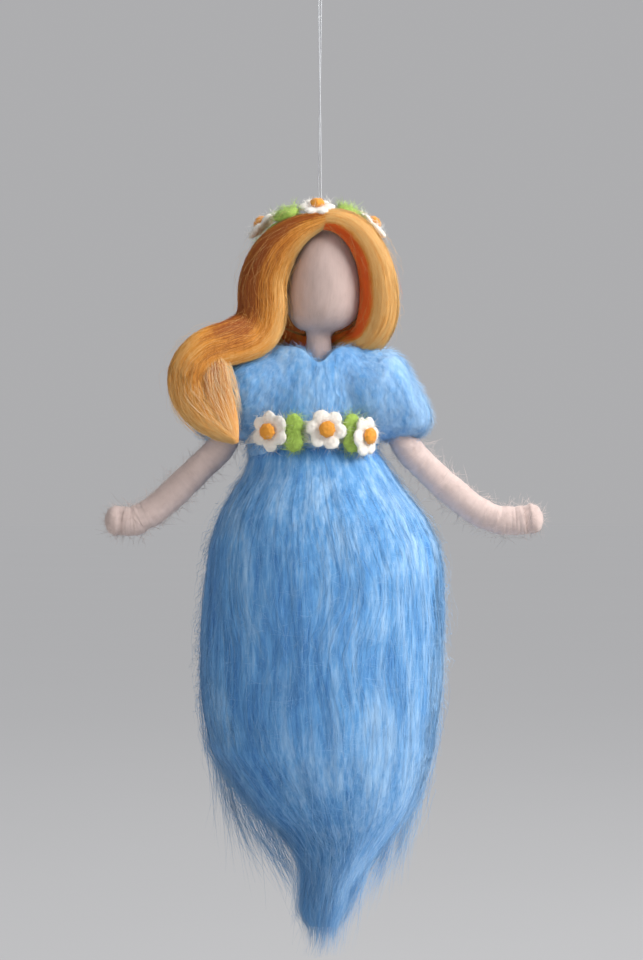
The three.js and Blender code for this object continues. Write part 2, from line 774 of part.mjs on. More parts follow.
function addWaist() {
  const tie = winding({
    x: bodiceX,
    y: headY / 2,
    topZ: beltBottomZ - seat,
    width: bodiceWidth + 2 * seat,
    depth: bodiceDepth + 2 * seat,
    thread: waistTieThread,
    turns: waistTieTurns,
    stepsPerTurn: 24,
    sides: 6,
  });
  console.log(`waist tie: least gap to itself ${tie.leastGap.toFixed(2)} mm`);
  piece('waist_tie', tie.geometry, blueTie);

  // The band leaves room for each sleeve, and for each arm from its photographed pose downwards.
  const rooms = [['left', -1], ['right', 1]].flatMap(([name, side]) => [
    sleeveForm(side, turning, 0),
    ...[0, 0.5, 1].map((share) => armRoomForm(name, side, share * armLowering)),
  ]);
  const band = solid(beltRing(beltTopZ, beltBottomZ, seat + beltThickness))
    .subtract(solid(beltRing(beltTopZ + 1, beltBottomZ - 1, seat)));
  const fitted = rooms.reduce((rest, room) => rest.subtract(solid(room)), band);
  piece('belt_band', surface(mainBody(fitted)), whiteFelt);
}

// A felt flower lying on the XY plane: a lobed pad, dished in the middle.
function petalPad(diameter) {
  const around = petalsPerFlower * 4;
  const shares = [
    [0.34, 0.6],
    [0.74, 1],
    [1, 0.6],
    [0.86, 0],
  ];
  const rings = shares.map(([share, height]) => Array.from({ length: around }, (_, j) => {
    const angle = (j / around) * 2 * Math.PI;
    const lobe = Math.sqrt(Math.abs(Math.cos((petalsPerFlower / 2) * angle)));
    const notch = 1 - 0.26 * (1 - lobe) * THREE.MathUtils.smoothstep(share, 0.3, 0.9);
    const radius = (diameter / 2) * share * notch;
    return vector(radius * Math.cos(angle), radius * Math.sin(angle), height * petalThickness);
  }));
  return skinOver(rings);
}

function flowerCentre(diameter) {
  const height = diameter * 0.55;
  const bottom = petalThickness * 0.62 + seat;
  return ellipsoid(vector(0, 0, bottom + height / 2), diameter, diameter, height, 8, 5);
}

function addFlower(name, place, outward, diameter, centreDiameter) {
  const group = new THREE.Group();
  group.position.copy(place);
  group.quaternion.setFromUnitVectors(vector(0, 0, 1), outward.clone().normalize());
  doll.add(group);
  piece(`${name}_petals`, petalPad(diameter), whiteFelt, group);
  piece(`${name}_centre`, flowerCentre(centreDiameter), orangeFelt, group);
}

// A tuft of green wool, needled into three soft lobes. Its length lies along the second direction.
function addLeaf(name, place, outward, upward, width, length, thickness) {
  const geometry = new THREE.SphereGeometry(0.5, 10, 6);
  const position = geometry.getAttribute('position');
  for (let i = 0; i < position.count; i += 1) {
    const [x, y, z] = [position.getX(i), position.getY(i), position.getZ(i)];
    const pinch = 1 - 0.16 * Math.cos(y * 3 * Math.PI) ** 2;
    position.setXYZ(i, x * width * pinch, y * length, (z + 0.5) * thickness * pinch);
  }
  const out = outward.clone().normalize();
  const up = upward.clone().addScaledVector(out, -upward.dot(out)).normalize();
  const turn = new THREE.Matrix4().makeBasis(up.clone().cross(out), up, out);
  const leaf = piece(name, geometry, leafFelt);
  leaf.quaternion.setFromRotationMatrix(turn);
  leaf.position.copy(place);
}

// A place on the front of the belt: an angle round the waist from straight ahead.
function beltPlace(angle, z, away) {
  const halfWidth = bodiceWidth / 2 + seat + beltThickness + away;
  const halfDepth = bodiceDepth / 2 + seat + beltThickness + away;
  return vector(
    bodiceX + halfWidth * Math.sin(degrees(angle)),
    headY / 2 - halfDepth * Math.cos(degrees(angle)),
    z,
  );
}

function addBeltFlowers() {
  const middleZ = (beltTopZ + beltBottomZ) / 2;
  const flowers = [['left', -37, -30], ['middle', 10, 8], ['right', 45, 54]];
  for (const [name, angle, facing] of flowers) {
    const outward = vector(Math.sin(degrees(facing)), -Math.cos(degrees(facing)), 0);
    const away = seat + 0.25 + Math.abs(facing - angle) / 20;
    addFlower(
      `belt_flower_${name}`,
      beltPlace(angle, middleZ, away),
      outward,
      beltFlowerDiameter,
      beltFlowerCentre,
    );
  }
  for (const [name, angle, facing] of [['left', -13.5, -9], ['right', 30.5, 27]]) {
    const outward = vector(Math.sin(degrees(facing)), -Math.cos(degrees(facing)), 0);
    addLeaf(
      `belt_leaf_${name}`,
      beltPlace(angle, middleZ - 0.4, seat),
      outward,
      vector(0, 0, 1),
      4.4,
      9,
      2.2,
    );
  }
}

// Hair
const hairCentre = vector(hairX, hairY, hairZ);

function hairCapForm(grow) {
  return ellipsoid(
    hairCentre,
    hairWidth + 2 * grow,
    hairDepth + 2 * grow,
    hairHeight + 2 * grow,
    capFacets,
    12,
  );
}

// The cap lies behind a slanting plane, and the locks frame the face in front of it.
function inFrontOfCap(grow) {
  const size = 60;
  const front = new THREE.BoxGeometry(size, size, size);
  front.translate(0, -size / 2 + grow, 0);
  front.rotateX(degrees(-14));
  front.translate(hairX, hairY - 5.2, hairZ + 2);
  return front;
}

function hairCapSolid(grow) {
  return solid(hairCapForm(grow))
    .subtract(solid(inFrontOfCap(-grow)))
    .subtract(solid(headForm(seat, 16, 10)))
    .subtract(solid(neckForm(neckWidth + 2 * seat, neckBottomZ)));
}

// Locks: x, y and z from the middle of the hair, half width and half depth
const rightLock = [
  [1.4, -8.4, 11.8, 2.6, 2.2],
  [8, -8.4, 10.2, 3.4, 3.1],
  [13.4, -8.4, 4.6, 3.6, 3.9],
  [16.4, -7.6, -2.8, 3.6, 4.3],
  [16.7, -6, -10.6, 3.6, 4.2],
  [14, -3.2, -17.2, 3.2, 3.6],
  [8.3, 1.9, -19.2, 2.8, 2.8],
  [2.5, 6.2, -18.4, 2.6, 2.6],
  [-4.5, 7, -17.4, 2.5, 2.5],
  [-11, 4.6, -16.6, 1.8, 1.8],
];
const leftLock = [
  [3.6, -9.4, 12.2, 1.6, 1.6],
  [-4, -9.2, 9.8, 3.6, 2.6],
  [-11.4, -8.8, 3.4, 5.2, 3.5],
  [-15.2, -8.2, -4.4, 6.2, 4.1],
  [-16.4, -8.2, -12.4, 6.4, 4.1],
  [-19.8, -9.6, -17.4, 5.8, 3.6],
  [-26.6, -12.8, -19.8, 5.5, 3.2],
  [-33.2, -15, -24.4, 5.7, 3],
  [-34.8, -15.8, -30.4, 5.7, 2.9],
  [-31.8, -15.8, -36.6, 5.2, 2.7],
  [-25.4, -15.2, -42, 3.6, 2.2],
  [-21.4, -14.8, -44.4, 1.2, 1.2],
];

function lockForm(rows, count, sides, grow = 0) {
  const placed = rows.map(([x, y, z, width, depth]) => [
    hairX + x,
    hairY + y,
    hairZ + z,
    width,
    depth,
  ]);
  return taperedForm(placed, count, sides, grow);
}

function addHair() {
  const cap = hairCapSolid(0).subtract(solid(stitchHole()));
  piece('hair_cap', surface(mainBody(cap)), hairWool);
  const right = solid(lockForm(rightLock, 18, 12))
    .subtract(solid(headForm(seat)))
    .subtract(hairCapSolid(seat))
    .subtract(solid(bodiceForm(seat)))
    .subtract(solid(neckForm(neckWidth + 2 * seat, neckBottomZ)))
    .subtract(solid(wreathCordForm(seat)));
  piece('hair_lock_right', surface(mainBody(right)), hairWool);
  const left = solid(lockForm(leftLock, 22, 12))
    .subtract(solid(headForm(seat)))
    .subtract(hairCapSolid(seat))
    .subtract(solid(lockForm(rightLock, 18, 12, seat)))
    .subtract(solid(sleeveForm(-1, 2 * seat, 0)))
    .subtract(solid(bodiceForm(seat)))
    .subtract(solid(wreathCordForm(seat)));
  piece('hair_lock_left', surface(mainBody(left)), hairWool);
}

// Wreath: a felt cord that lies on the cap in a tilted plane, high in front and low behind
const wreathFront = vector(0, -0.185 * hairDepth, 0.455 * hairHeight);
const wreathBack = vector(0, 0.485 * hairDepth, 0.13 * hairHeight);

function wreathPlace(angle, away) {
  const middle = wreathFront.clone().add(wreathBack).multiplyScalar(0.5);
  const forward = wreathFront.clone().sub(wreathBack).normalize();
  const direction = forward.multiplyScalar(Math.cos(angle)).add(vector(Math.sin(angle), 0, 0));
  const shape = vector(hairWidth / 2, hairDepth / 2, hairHeight / 2);
  const from = middle.clone().divide(shape);
  const step = direction.clone().divide(shape);
  const a = step.dot(step);
  const b = from.dot(step);
  const c = from.dot(from) - 1;
  const reach = (-b + Math.sqrt(b * b - a * c)) / a;
  const point = middle.addScaledVector(direction, reach);
  const outward = point.clone().divide(shape).divide(shape).normalize();
  return {
    outward,
    place: point.add(hairCentre).addScaledVector(outward, away),
  };
}

function wreathCordForm(grow) {
  const radius = wreathCordDiameter / 2;
  const centres = Array.from({ length: wreathFacets }, (_, i) =>
    wreathPlace((i / wreathFacets) * 2 * Math.PI, seat + radius));
  const rings = centres.map(({ place, outward }, i) => {
    const before = centres[(i + wreathFacets - 1) % wreathFacets].place;
    const after = centres[(i + 1) % wreathFacets].place;
    const along = after.clone().sub(before).normalize();
    const side = outward.clone().cross(along).normalize();
    const up = along.clone().cross(side);
    return Array.from({ length: 6 }, (_, j) => {
      const angle = (j / 6) * 2 * Math.PI;
      return place.clone()
        .addScaledVector(side, (radius + grow) * Math.cos(angle))
        .addScaledVector(up, (radius + grow) * Math.sin(angle));
    });
  });
  return skinOver(rings, true);
}

function addWreath() {
  piece('wreath_cord', wreathCordForm(0), leafFelt);

  const step = (2 * Math.PI) / wreathFlowers;
  const onCord = 2 * seat + wreathCordDiameter;
  for (let i = 0; i < wreathFlowers; i += 1) {
    const flower = wreathPlace(i * step, onCord);
    addFlower(
      `wreath_flower_${i + 1}`,
      flower.place,
      flower.outward,
      wreathFlowerDiameter,
      wreathFlowerCentre,
    );
    const leaf = wreathPlace((i + 0.5) * step, onCord);
    const along = wreathPlace((i + 0.6) * step, onCord).place.sub(leaf.place);
    addLeaf(`wreath_leaf_${i + 1}`, leaf.place, leaf.outward, along, 5.4, 4.6, 2.4);
  }
}

addThread();
addHead();
addBodice();
addChestWire();
addArm('left', -1);
addArm('right', 1);
addSkirt();
addWaist();
addBeltFlowers();
addHair();
addWreath();

export default doll;
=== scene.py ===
"""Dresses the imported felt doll: combed wool, needled felt flowers and a clear nylon thread."""

import math

import bmesh
import bpy
import numpy as np
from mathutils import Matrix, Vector
from mathutils.bvhtree import BVHTree


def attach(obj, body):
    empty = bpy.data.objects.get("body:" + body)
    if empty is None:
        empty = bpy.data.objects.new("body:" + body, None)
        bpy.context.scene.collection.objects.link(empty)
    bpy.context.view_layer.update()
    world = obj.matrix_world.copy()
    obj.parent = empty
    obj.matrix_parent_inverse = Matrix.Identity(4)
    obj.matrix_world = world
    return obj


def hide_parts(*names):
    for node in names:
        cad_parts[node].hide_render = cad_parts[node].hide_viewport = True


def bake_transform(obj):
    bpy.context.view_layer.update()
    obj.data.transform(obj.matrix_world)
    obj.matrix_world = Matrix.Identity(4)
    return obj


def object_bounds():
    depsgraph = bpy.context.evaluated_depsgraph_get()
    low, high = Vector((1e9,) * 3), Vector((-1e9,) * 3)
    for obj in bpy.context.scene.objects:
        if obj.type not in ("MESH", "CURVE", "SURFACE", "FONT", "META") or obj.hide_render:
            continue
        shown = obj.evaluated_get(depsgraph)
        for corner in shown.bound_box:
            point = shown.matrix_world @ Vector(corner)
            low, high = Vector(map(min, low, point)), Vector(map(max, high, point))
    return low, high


bl_info = {
    "name": "Felt Doll",
    "version": (1, 0, 0),
    "blender": (4, 5, 0),
    "location": "View3D > Sidebar > Felt Doll",
    "description": "Dresses the packed felt doll in combed wool, needled felt and thread",
    "category": "Object",
}

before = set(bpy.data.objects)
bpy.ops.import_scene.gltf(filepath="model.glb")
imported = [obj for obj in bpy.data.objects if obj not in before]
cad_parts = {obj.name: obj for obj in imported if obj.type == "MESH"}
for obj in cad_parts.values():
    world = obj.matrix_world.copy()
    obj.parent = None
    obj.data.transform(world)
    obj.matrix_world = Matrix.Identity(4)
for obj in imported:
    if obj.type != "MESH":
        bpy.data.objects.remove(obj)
cad_low, cad_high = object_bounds()

MM = 0.001
UP = np.array([0.0, 0.0, 1.0])
DOWN = -UP

# Places on the doll, in millimetres
CROWN_Z = -80.5
HEAD = np.array([1.5, -2.0, -96.9])
HEAD_HALF = np.array([9.9, 9.6, 13.4])
HEAD_TOP = -83.5
HEAD_WIDEST = -100.2
CHIN_Z = -110.6
# How far the chin stands to one side, and between which angles down the head it moves there
CHIN_ASIDE = -1.3
CHIN_TURN = (80, 160)
# Angles down the head of its rings, in degrees
HEAD_RINGS = (0, 12, 24, 38, 54, 72, 90, 106, 122, 138, 152, 162)
# Powers that round the head's outline above and below its widest ring
TOP_ROUND = 0.9
CHIN_ROUND = 0.77
NECK_X = -0.25
SHOULDERS_Z = -113.2
BODICE_LENGTH = 30.1
BODICE_X = -2.0
BODICE_HALF = (17.3, 12.5)
SKIRT_TOP_Z = -143.6
SKIRT_LENGTH = 122.5
HAIR = np.array([-0.7, 0.5, -96.0])
HAIR_HALF = np.array([16.7, 13.5, 15.5])
SHOULDER = {"left": np.array([-22.5, -0.5, -128.2]), "right": np.array([18.5, -0.5, -128.2])}
SLEEVE_HALF = np.array([11.0, 10.0, 11.0])
SLEEVE_DROOP = 2.6
SLEEVE_SLOPE = 2.8
# How far a sleeve's wool reaches over the bodice, and how much higher it lies
SLEEVE_OVERLAP = 3.0
SLEEVE_LIFT = 0.12
# Under the arm a sleeve ends at a plane that is this high over its seam and falls outwards
ARMPIT_Z = -130.0
ARMPIT_FALL = 1.145
# A sleeve's own fibres start at least this far above its lower edge
FIBRE_EDGE = np.array([0.0, 0.0, 3.5])
# Half the size of the block that cuts a sleeve's room out of the bodice
SLEEVE_ROOM = 40.0
# A sleeve's seam lies this far inside its pivot
SEAM_INSIDE = 11.5
# The span given with a sleeve's body: from this far inside its seam to as far outside its pivot
BEND_MARGIN = 1.5
# Wool shoulders under the sleeves: share of the way down the bodice, then width and depth to its own
SHOULDER_ROWS = (
    (0.03, 0.15, 0.15), (0.06, 0.42, 0.4), (0.11, 0.58, 0.56), (0.19, 0.73, 0.71), (0.31, 0.84, 0.83),
    (0.5, 0.91, 0.91), (0.75, 0.94, 0.94), (0.92, 0.92, 0.93), (0.97, 0.8, 0.8),
)
SIDE = {"left": -1, "right": 1}
ARM_LINE = {
    "left": [(0, 0), (0.9, -6.5), (3.5, -12.2), (9, -17.7), (14.3, -23),
             (20.4, -28.3), (24.6, -30.6), (28.4, -31.2), (33.4, -30.9)],
    "right": [(0, 0), (1.8, -7), (4.9, -13), (10.2, -18.5), (15.5, -23.2),
              (22.3, -28.6), (27.8, -30.9), (33.8, -31), (39.5, -30.4)],
}
ELBOW_AT = 4
ARM_RADIUS = 3.75
HAND_LENGTH = 5.2
HAND_RADIUS = 3.85
# A hand's rings: share of its length, then share of its radius
HAND_RINGS = ((0, 0.93), (0.15, 0.97), (0.3, 1.0), (0.42, 1.02), (0.55, 0.99), (0.68, 0.92), (0.8, 0.76),
              (0.9, 0.56), (0.96, 0.36), (1, 0.12))
# The span given with an arm's body: this far on each side of the elbow
ELBOW_BEND = 4

THREAD_DIAMETER = 0.35
STRAND_APART = 0.7
STRAND_TOP_Z = -16.2
STRAND_LENGTH = 64.0
STRAND_STEPS = 16

# Skirt rows: share of the way down, then how far it reaches left, right and deep, of its half size
SKIRT_OUTER = np.array([
    [-0.027, 0.58, 0.46, 0.57],
    [-0.012, 0.6, 0.51, 0.6],
    [0.02, 0.61, 0.59, 0.63],
    [0.05, 0.69, 0.66, 0.7],
    [0.11, 0.82, 0.83, 0.83],
    [0.18, 0.92, 0.97, 0.92],
    [0.24, 0.94, 1.02, 0.97],
    [0.335, 0.97, 1.03, 1],
    [0.43, 0.985, 1, 1],
    [0.52, 0.97, 0.97, 0.97],
    [0.615, 0.91, 0.92, 0.9],
    [0.68, 0.84, 0.86, 0.82],
    [0.74, 0.72, 0.78, 0.7],
    [0.8, 0.5, 0.7, 0.54],
    [0.855, 0.28, 0.6, 0.42],
    [0.9, 0.2, 0.47, 0.32],
    [0.955, 0.2, 0.31, 0.22],
    [0.985, 0.17, 0.22, 0.17],
    [1, 0.12, 0.14, 0.11],
])
# The dense wool inside the veil of loose fibres at the lower left
SKIRT_DENSE = {0.68: (0.74, 0.84), 0.74: (0.56, 0.75), 0.8: (0.28, 0.57), 0.855: (0.16, 0.4),
               0.9: (0.16, 0.3), 0.955: (0.18, 0.22), 0.985: (0.13, 0.17), 1: (0.03, 0.06)}
DENSE_END = 0.99
SKIRT_RINGS = 36
SKIRT_HALF = (32.5, 25.0)
# Where the skirt is narrower than this, an inset shrinks with it
INSET_FULL_AT = 14
# A fibre that runs past the skirt's end hangs down by this share of what runs past
HANGING_SHARE = 0.25
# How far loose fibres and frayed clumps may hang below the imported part
FIBRES_BELOW = 5
CLUMPS_BELOW = 6
# Layers of long fibres: name, how many, steps, thickness to a fine streak's, where they start and how
# long they are as shares of the skirt's length, how far they stand off, and how their tones differ
SKIRT_LAYERS = (
    ("under", 1100, 7, 1.25, (0.0, 0.75), (0.2, 0.5), 0.2, 0.07),
    ("middle", 2300, 6, 0.86, (0.0, 0.86), (0.08, 0.24), 0.5, 0.1),
    ("over", 2300, 6, 0.66, (0.0, 0.9), (0.06, 0.16), 0.9, 0.12),
)
# How far the roving turns round the skirt on its way down, in radians
SKIRT_TWIST = 0.35
# Clumps that fray from the skirt's end: x, y and z of root, bend and tip, then how many fibres
CLUMPS = (
    ((2.6, -8, -221.6), (3.4, -7, -245), (-1.0, -4, -266.5), 260),
    ((4.0, -6, -236), (3.0, -6, -254), (1.0, -3, -269), 160),
    ((8.3, 2, -229.4), (8.3, 2, -250.2), (3.6, -1, -271), 60),
    ((-5.2, -7, -224.2), (-0.5, -6, -245), (-5.2, -4, -259.3), 90),
    ((13, -7, -226.8), (13.5, -5, -245), (6.8, -2, -261.9), 120),
    ((18.2, -3, -224.2), (19.5, -3, -239.8), (13, -2, -254.9), 120),
    ((23.4, -2, -219), (24.4, -1, -232), (19.2, -1, -249.2), 110),
    ((27.3, 0, -213.8), (27.6, 0, -225.5), (22.9, 0, -240.3), 90),
    ((-22.5, -3, -213.8), (-19.8, -3, -234.6), (-7.5, -3, -251.8), 80),
    ((-25.6, 0, -208.6), (-24.5, 0, -230.7), (-15.1, -1, -248.6), 70),
    ((-27.0, 0, -203.4), (-27.0, 0, -222.9), (-20.8, 0, -244.5), 50),
    ((-19.1, -6, -221.6), (-14.1, -6, -239.8), (-4.7, -4, -254.9), 90),
    ((-26.5, -3, -200.8), (-28.0, -3, -216.4), (-25, -2, -235.1), 40),
    ((6.5, 6, -232), (2.6, 4, -250.2), (-3.6, 1, -264.5), 90),
    ((14, 9, -218), (13, 8, -238), (6, 4, -258), 90),
    ((-12, 9, -216), (-9, 8, -234), (-4, 4, -254), 90),
)
# Every clump gets this many times its number of fibres
CLUMP_FULLNESS = 1.3

# Locks: x, y and z from the middle of the hair, then half width and half depth
RIGHT_LOCK = [
    [-2.6, -8, 13.2, 1.5, 1.6],
    [4.2, -8.9, 14.0, 2.6, 2.6],
    [10.0, -8.8, 11.0, 3.5, 3.3],
    [14.1, -8.3, 4.6, 4.1, 4.0],
    [15.9, -7.5, -3, 4.6, 4.3],
    [15.8, -6.2, -10.4, 4.8, 4.2],
    [13.3, -3.4, -15.8, 4.1, 3.6],
    [8.6, 1.7, -18.0, 3.0, 2.9],
    [2.5, 5.6, -18, 2.6, 2.7],
    [-4.5, 7, -17, 2.5, 2.5],
    [-11, 4.6, -16, 1.8, 1.8],
]
LEFT_LOCK = [
    [3.6, -9, 14.6, 1.4, 1.5],
    [-4.0, -9.7, 12.0, 3.3, 2.6],
    [-10.6, -9.4, 6.4, 5.2, 3.6],
    [-14.1, -8.8, -1.6, 5.9, 4.1],
    [-14.1, -8.5, -9.2, 6.0, 4.1],
    [-16.0, -9.2, -14.4, 6.2, 3.9],
    [-21.6, -11.6, -17.4, 5.6, 3.5],
    [-28.2, -14.0, -19.6, 5.0, 3.2],
    [-32.6, -15.4, -24.6, 4.5, 3.0],
    [-32.8, -15.6, -30.8, 4.4, 2.8],
    [-29.8, -15.6, -36.2, 3.6, 2.5],
    [-25.4, -15.2, -40.0, 2.2, 1.9],
    [-20.8, -14.8, -42.8, 0.6, 0.7],
]
# Loose strands inside the curl of the left lock
CURL = [
    [-25.4, -13.4, -19.6, 1.6, 1.4],
    [-27.2, -14.4, -21.8, 3.4, 2.2],
    [-26.8, -15.2, -25.2, 4.6, 2.4],
    [-26.0, -15.4, -29.9, 5.0, 2.4],
    [-24.2, -15.4, -34.6, 4.3, 2.2],
    [-22.1, -15.0, -39.3, 2.7, 1.8],
    [-20.6, -14.6, -43.6, 0.8, 0.8],
]
NAPE = [
    [0.4, 5, 4, 12.4, 5.6],
    [0.7, 5, -4, 14, 5.8],
    [1.0, 5, -10, 14, 5.4],
    [1.4, 5.2, -14.8, 12.4, 4.8],
    [1.2, 5.6, -18, 9.2, 3.6],
    [0.9, 5.8, -20, 4, 2.2],
]

# How far the belt's flowers are drawn in along the band
NUDGES = {
    "belt_flower_left": (1.8, -0.8, 0),
    "belt_flower_middle": (0.1, 0, 0.5),
    "belt_flower_right": (-1.3, -0.8, -1.1),
}
# Size of the felt band against its solid: width, depth and height
BAND_DRAWN_IN = [0.94, 0.94, 0.8]
PETALS = 6
# Half the thickness of a petal, and of the disc between the petals
PETAL_THICK = 0.9
PETAL_DISC = 0.85

# Colours that no setting changes, from dark to light where there are three
BLUE_HAZE = (0.38, 0.62, 0.91)
CORE_WOOL = (0.83, 0.79, 0.7)
WAIST_THREAD = (0.09, 0.2, 0.42)
INNER_ROVING = (0.4, 0.58, 0.8)
HAIR_DARK = (0.40, 0.09, 0.004)
HAIR_LIGHT = (0.94, 0.56, 0.20)
# The wool inside the curl, darker and redder as painted shade
CURL_IN_SHADE = ((0.5, 0.11, 0.015), (0.8, 0.33, 0.07), (0.94, 0.62, 0.28))
CURL_PALE = ((0.95, 0.58, 0.22), (0.95, 0.76, 0.48))
# The face's skin against the arms', as it lies in the shade of the hair
FACE_SHADE = [0.8, 0.77, 0.76]

# Stage, in metres: the view's middle at the doll, and each lamp's name, place, size and power
VIEW_X = 0.0004
VIEW_Z = -0.1488
SENSOR = 36
LAMPS = (
    ("key_lamp", (0.66, -0.34, 0.3), 0.45, 8.9),
    ("fill_lamp", (-0.5, -0.8, 0.0), 0.8, 3.0),
    ("top_lamp", (0.25, 0.25, 0.5), 0.5, 3.0),
)
LAMP_AIM = (0, 0, -0.16)
SKY = (0.85, 0.88, 0.92)
SKY_STRENGTH = 0.16
BACKGROUND = (0.42, 0.42, 0.43)
FLOOR_Z = -0.31
FLOOR_REACH = 9
# Seen by the camera, this share of the floor is a glow that brings it to the background's tone
GLOW_SHARE = 0.7
FLOOR_GLOW = (0.552, 0.552, 0.566)

# Share of a fibre's own roundness in its shading
OWN_SHADING = 0.35


# Small helpers

def unit(vectors):
    """Vectors of length one."""
    return vectors / np.maximum(np.linalg.norm(vectors, axis=-1, keepdims=True), 1e-9)


def smooth(low, high, value):
    """A soft step from 0 at low to 1 at high."""
    share = np.clip((value - low) / (high - low), 0, 1)
    return share * share * (3 - 2 * share)


def along_rows(rows, share):
    """Rows of numbers smoothly filled in; a share from 0 to 1 runs over all of them."""
    last = len(rows) - 1
    place = np.clip(share, 0, 1) * last
    index = np.minimum(place.astype(int), last - 1)
    f = (place - index)[..., None]
    before, here, after, beyond = (rows[np.clip(index + k, 0, last)] for k in (-1, 0, 1, 2))
    bend = 2 * before - 5 * here + 4 * after - beyond
    twist = -before + 3 * here - 3 * after + beyond
    return here + 0.5 * f * (after - before + f * (bend + f * twist))


class Grain:
    """A smooth random pattern over an angle, which wraps round, and a share along a piece."""

    def __init__(self, seed, around, along):
        random = np.random.default_rng(seed)
        self.table = random.uniform(-1, 1, (along + 2, around))

    def __call__(self, angle, share):
        along, around = self.table.shape
        x = (angle / (2 * math.pi)) % 1 * around
        y = np.clip(share, 0, 1) * (along - 1.001)
        i, j = np.floor(y).astype(int), np.floor(x).astype(int)
        fy, fx = y - i, x - j
        fy, fx = fy * fy * (3 - 2 * fy), fx * fx * (3 - 2 * fx)
        i1, j0, j1 = np.minimum(i + 1, along - 1), j % around, (j + 1) % around
        low = self.table[i, j0] * (1 - fx) + self.table[i, j1] * fx
        high = self.table[i1, j0] * (1 - fx) + self.table[i1, j1] * fx
        return low * (1 - fy) + high * fy


class Sweep:
    """A wool form along a path: rows of x, y, z, half width and half depth in millimetres.

    The rings of a level form stay level; the others lie square to the path.
    """

    def __init__(self, rows, relief=None, level=False):
        self.rows = np.array(rows, float)
        self.relief = relief
        self.level = level

    def centre(self, share):
        return along_rows(self.rows, share)[..., :3]

    def axes(self, share):
        """The directions along, across and deep at each share."""
        step = 2e-3
        before, after = np.maximum(share - step, 0), np.minimum(share + step, 1)
        along = unit(self.centre(after) - self.centre(before))
        if self.level:
            along = np.broadcast_to(DOWN, along.shape)
        across = unit(np.cross([0.0, 1.0, 0.0], along))
        return along, across, np.cross(along, across)

    def at(self, share, angle, lift=0.0, full=1.0):
        """Points on the form, lifted off it, or inside it where full is under one."""
        row = along_rows(self.rows, share)
        _, across, deep = self.axes(share)
        lift = lift + (self.relief(share, angle) if self.relief else 0.0)
        wide = (np.maximum(row[..., 3] + lift, 0) * full)[..., None]
        thick = (np.maximum(row[..., 4] + lift, 0) * full)[..., None]
        sideways = across * wide * np.cos(angle)[..., None]
        return row[..., :3] + sideways + deep * thick * np.sin(angle)[..., None]

    def out(self, share, angle):
        """The way that the form faces."""
        row = along_rows(self.rows, share)
        _, across, deep = self.axes(share)
        wide = (np.cos(angle) / np.maximum(row[..., 3], 0.1))[..., None]
        thick = (np.sin(angle) / np.maximum(row[..., 4], 0.1))[..., None]
        return unit(across * wide + deep * thick)

    def nearest(self, points, samples=160, batch=20000):
        """The share along the path that lies nearest to each point."""
        shares = np.linspace(0, 1, samples)
        line = self.centre(shares)
        found = np.empty(len(points))
        for start in range(0, len(points), batch):
            part = points[start:start + batch]
            gaps = ((part[:, None, :] - line[None]) ** 2).sum(-1)
            found[start:start + batch] = shares[gaps.argmin(1)]
        return found


# Making and finishing pieces

def select_only(piece):
    bpy.ops.object.select_all(action="DESELECT")
    piece.select_set(True)
    bpy.context.view_layer.objects.active = piece


def places(piece, measure=MM):
    """A mesh's points in millimetres, or in another measure."""
    co = np.empty(len(piece.data.vertices) * 3)
    piece.data.vertices.foreach_get("co", co)
    return co.reshape(-1, 3) / measure


def set_places(piece, points):
    piece.data.vertices.foreach_set("co", (np.asarray(points) * MM).ravel())
    piece.data.update()


def edited(piece, step, **settings):
    """Runs one step of edit mode on the whole of a mesh."""
    select_only(piece)
    bpy.ops.object.mode_set(mode="EDIT")
    bpy.ops.mesh.select_all(action="SELECT")
    step(**settings)
    bpy.ops.object.mode_set(mode="OBJECT")


def outwards(piece):
    """Turns a closed mesh's faces outwards."""
    edited(piece, bpy.ops.mesh.normals_make_consistent, inside=False)


def apply(piece, kind, **settings):
    """Adds a modifier and applies it."""
    select_only(piece)
    modifier = piece.modifiers.new(kind.title(), kind)
    for key, value in settings.items():
        setattr(modifier, key, value)
    bpy.ops.object.modifier_apply(modifier=modifier.name)


def roughen(piece, size, strength):
    """Lumps of a size in millimetres that stand out by up to half a strength in millimetres."""
    texture = bpy.data.textures.new(piece.name + "_lumps", "CLOUDS")
    texture.noise_scale = size * MM
    texture.noise_depth = 2
    apply(piece, "DISPLACE", texture=texture, strength=strength * MM, mid_level=0.5,
          texture_coords="LOCAL")
    bpy.data.textures.remove(texture)


def shade_smooth(piece):
    piece.data.polygons.foreach_set("use_smooth", np.ones(len(piece.data.polygons), bool))
    piece.data.update()


def shaded(piece, values):
    """Gives each point of a mesh its shade, from 0 dark to 1 light."""
    layer = piece.data.attributes.get("shade") or piece.data.attributes.new("shade", "FLOAT", "POINT")
    values = np.broadcast_to(values, len(piece.data.vertices)).astype(np.float32)
    layer.data.foreach_set("value", np.ascontiguousarray(values))


def ball(around, rings):
    """A ball of radius one.

    Blender lists its faces in another order each run. They are sorted, so that random draws from them
    come out the same.
    """
    bpy.ops.object.select_all(action="DESELECT")
    bpy.ops.mesh.primitive_uv_sphere_add(segments=around, ring_count=rings, radius=1)
    piece = bpy.context.object
    form = bmesh.new()
    form.from_mesh(piece.data)
    count = len(form.verts)

    def rank(face):
        first, second, third, *_ = sorted(corner.index for corner in face.verts)
        return (first * count + second) * count + third

    form.faces.sort(key=rank)
    form.to_mesh(piece.data)
    form.free()
    return piece


def wrapped(name, sweep, around, rings, tone=None):
    """A ball drawn out over a sweep: its poles become the sweep's closed ends."""
    piece = ball(around, rings)
    piece.name = name
    co = places(piece, 1)
    share = np.arccos(np.clip(co[:, 2], -1, 1)) / math.pi
    angle = np.arctan2(co[:, 1], co[:, 0])
    open_ring = (share > 1e-4) & (share < 1 - 1e-4)
    set_places(piece, sweep.at(share, angle, full=open_ring.astype(float)))
    shaded(piece, tone(share, angle) if tone else 0.5)
    outwards(piece)
    shade_smooth(piece)
    return piece


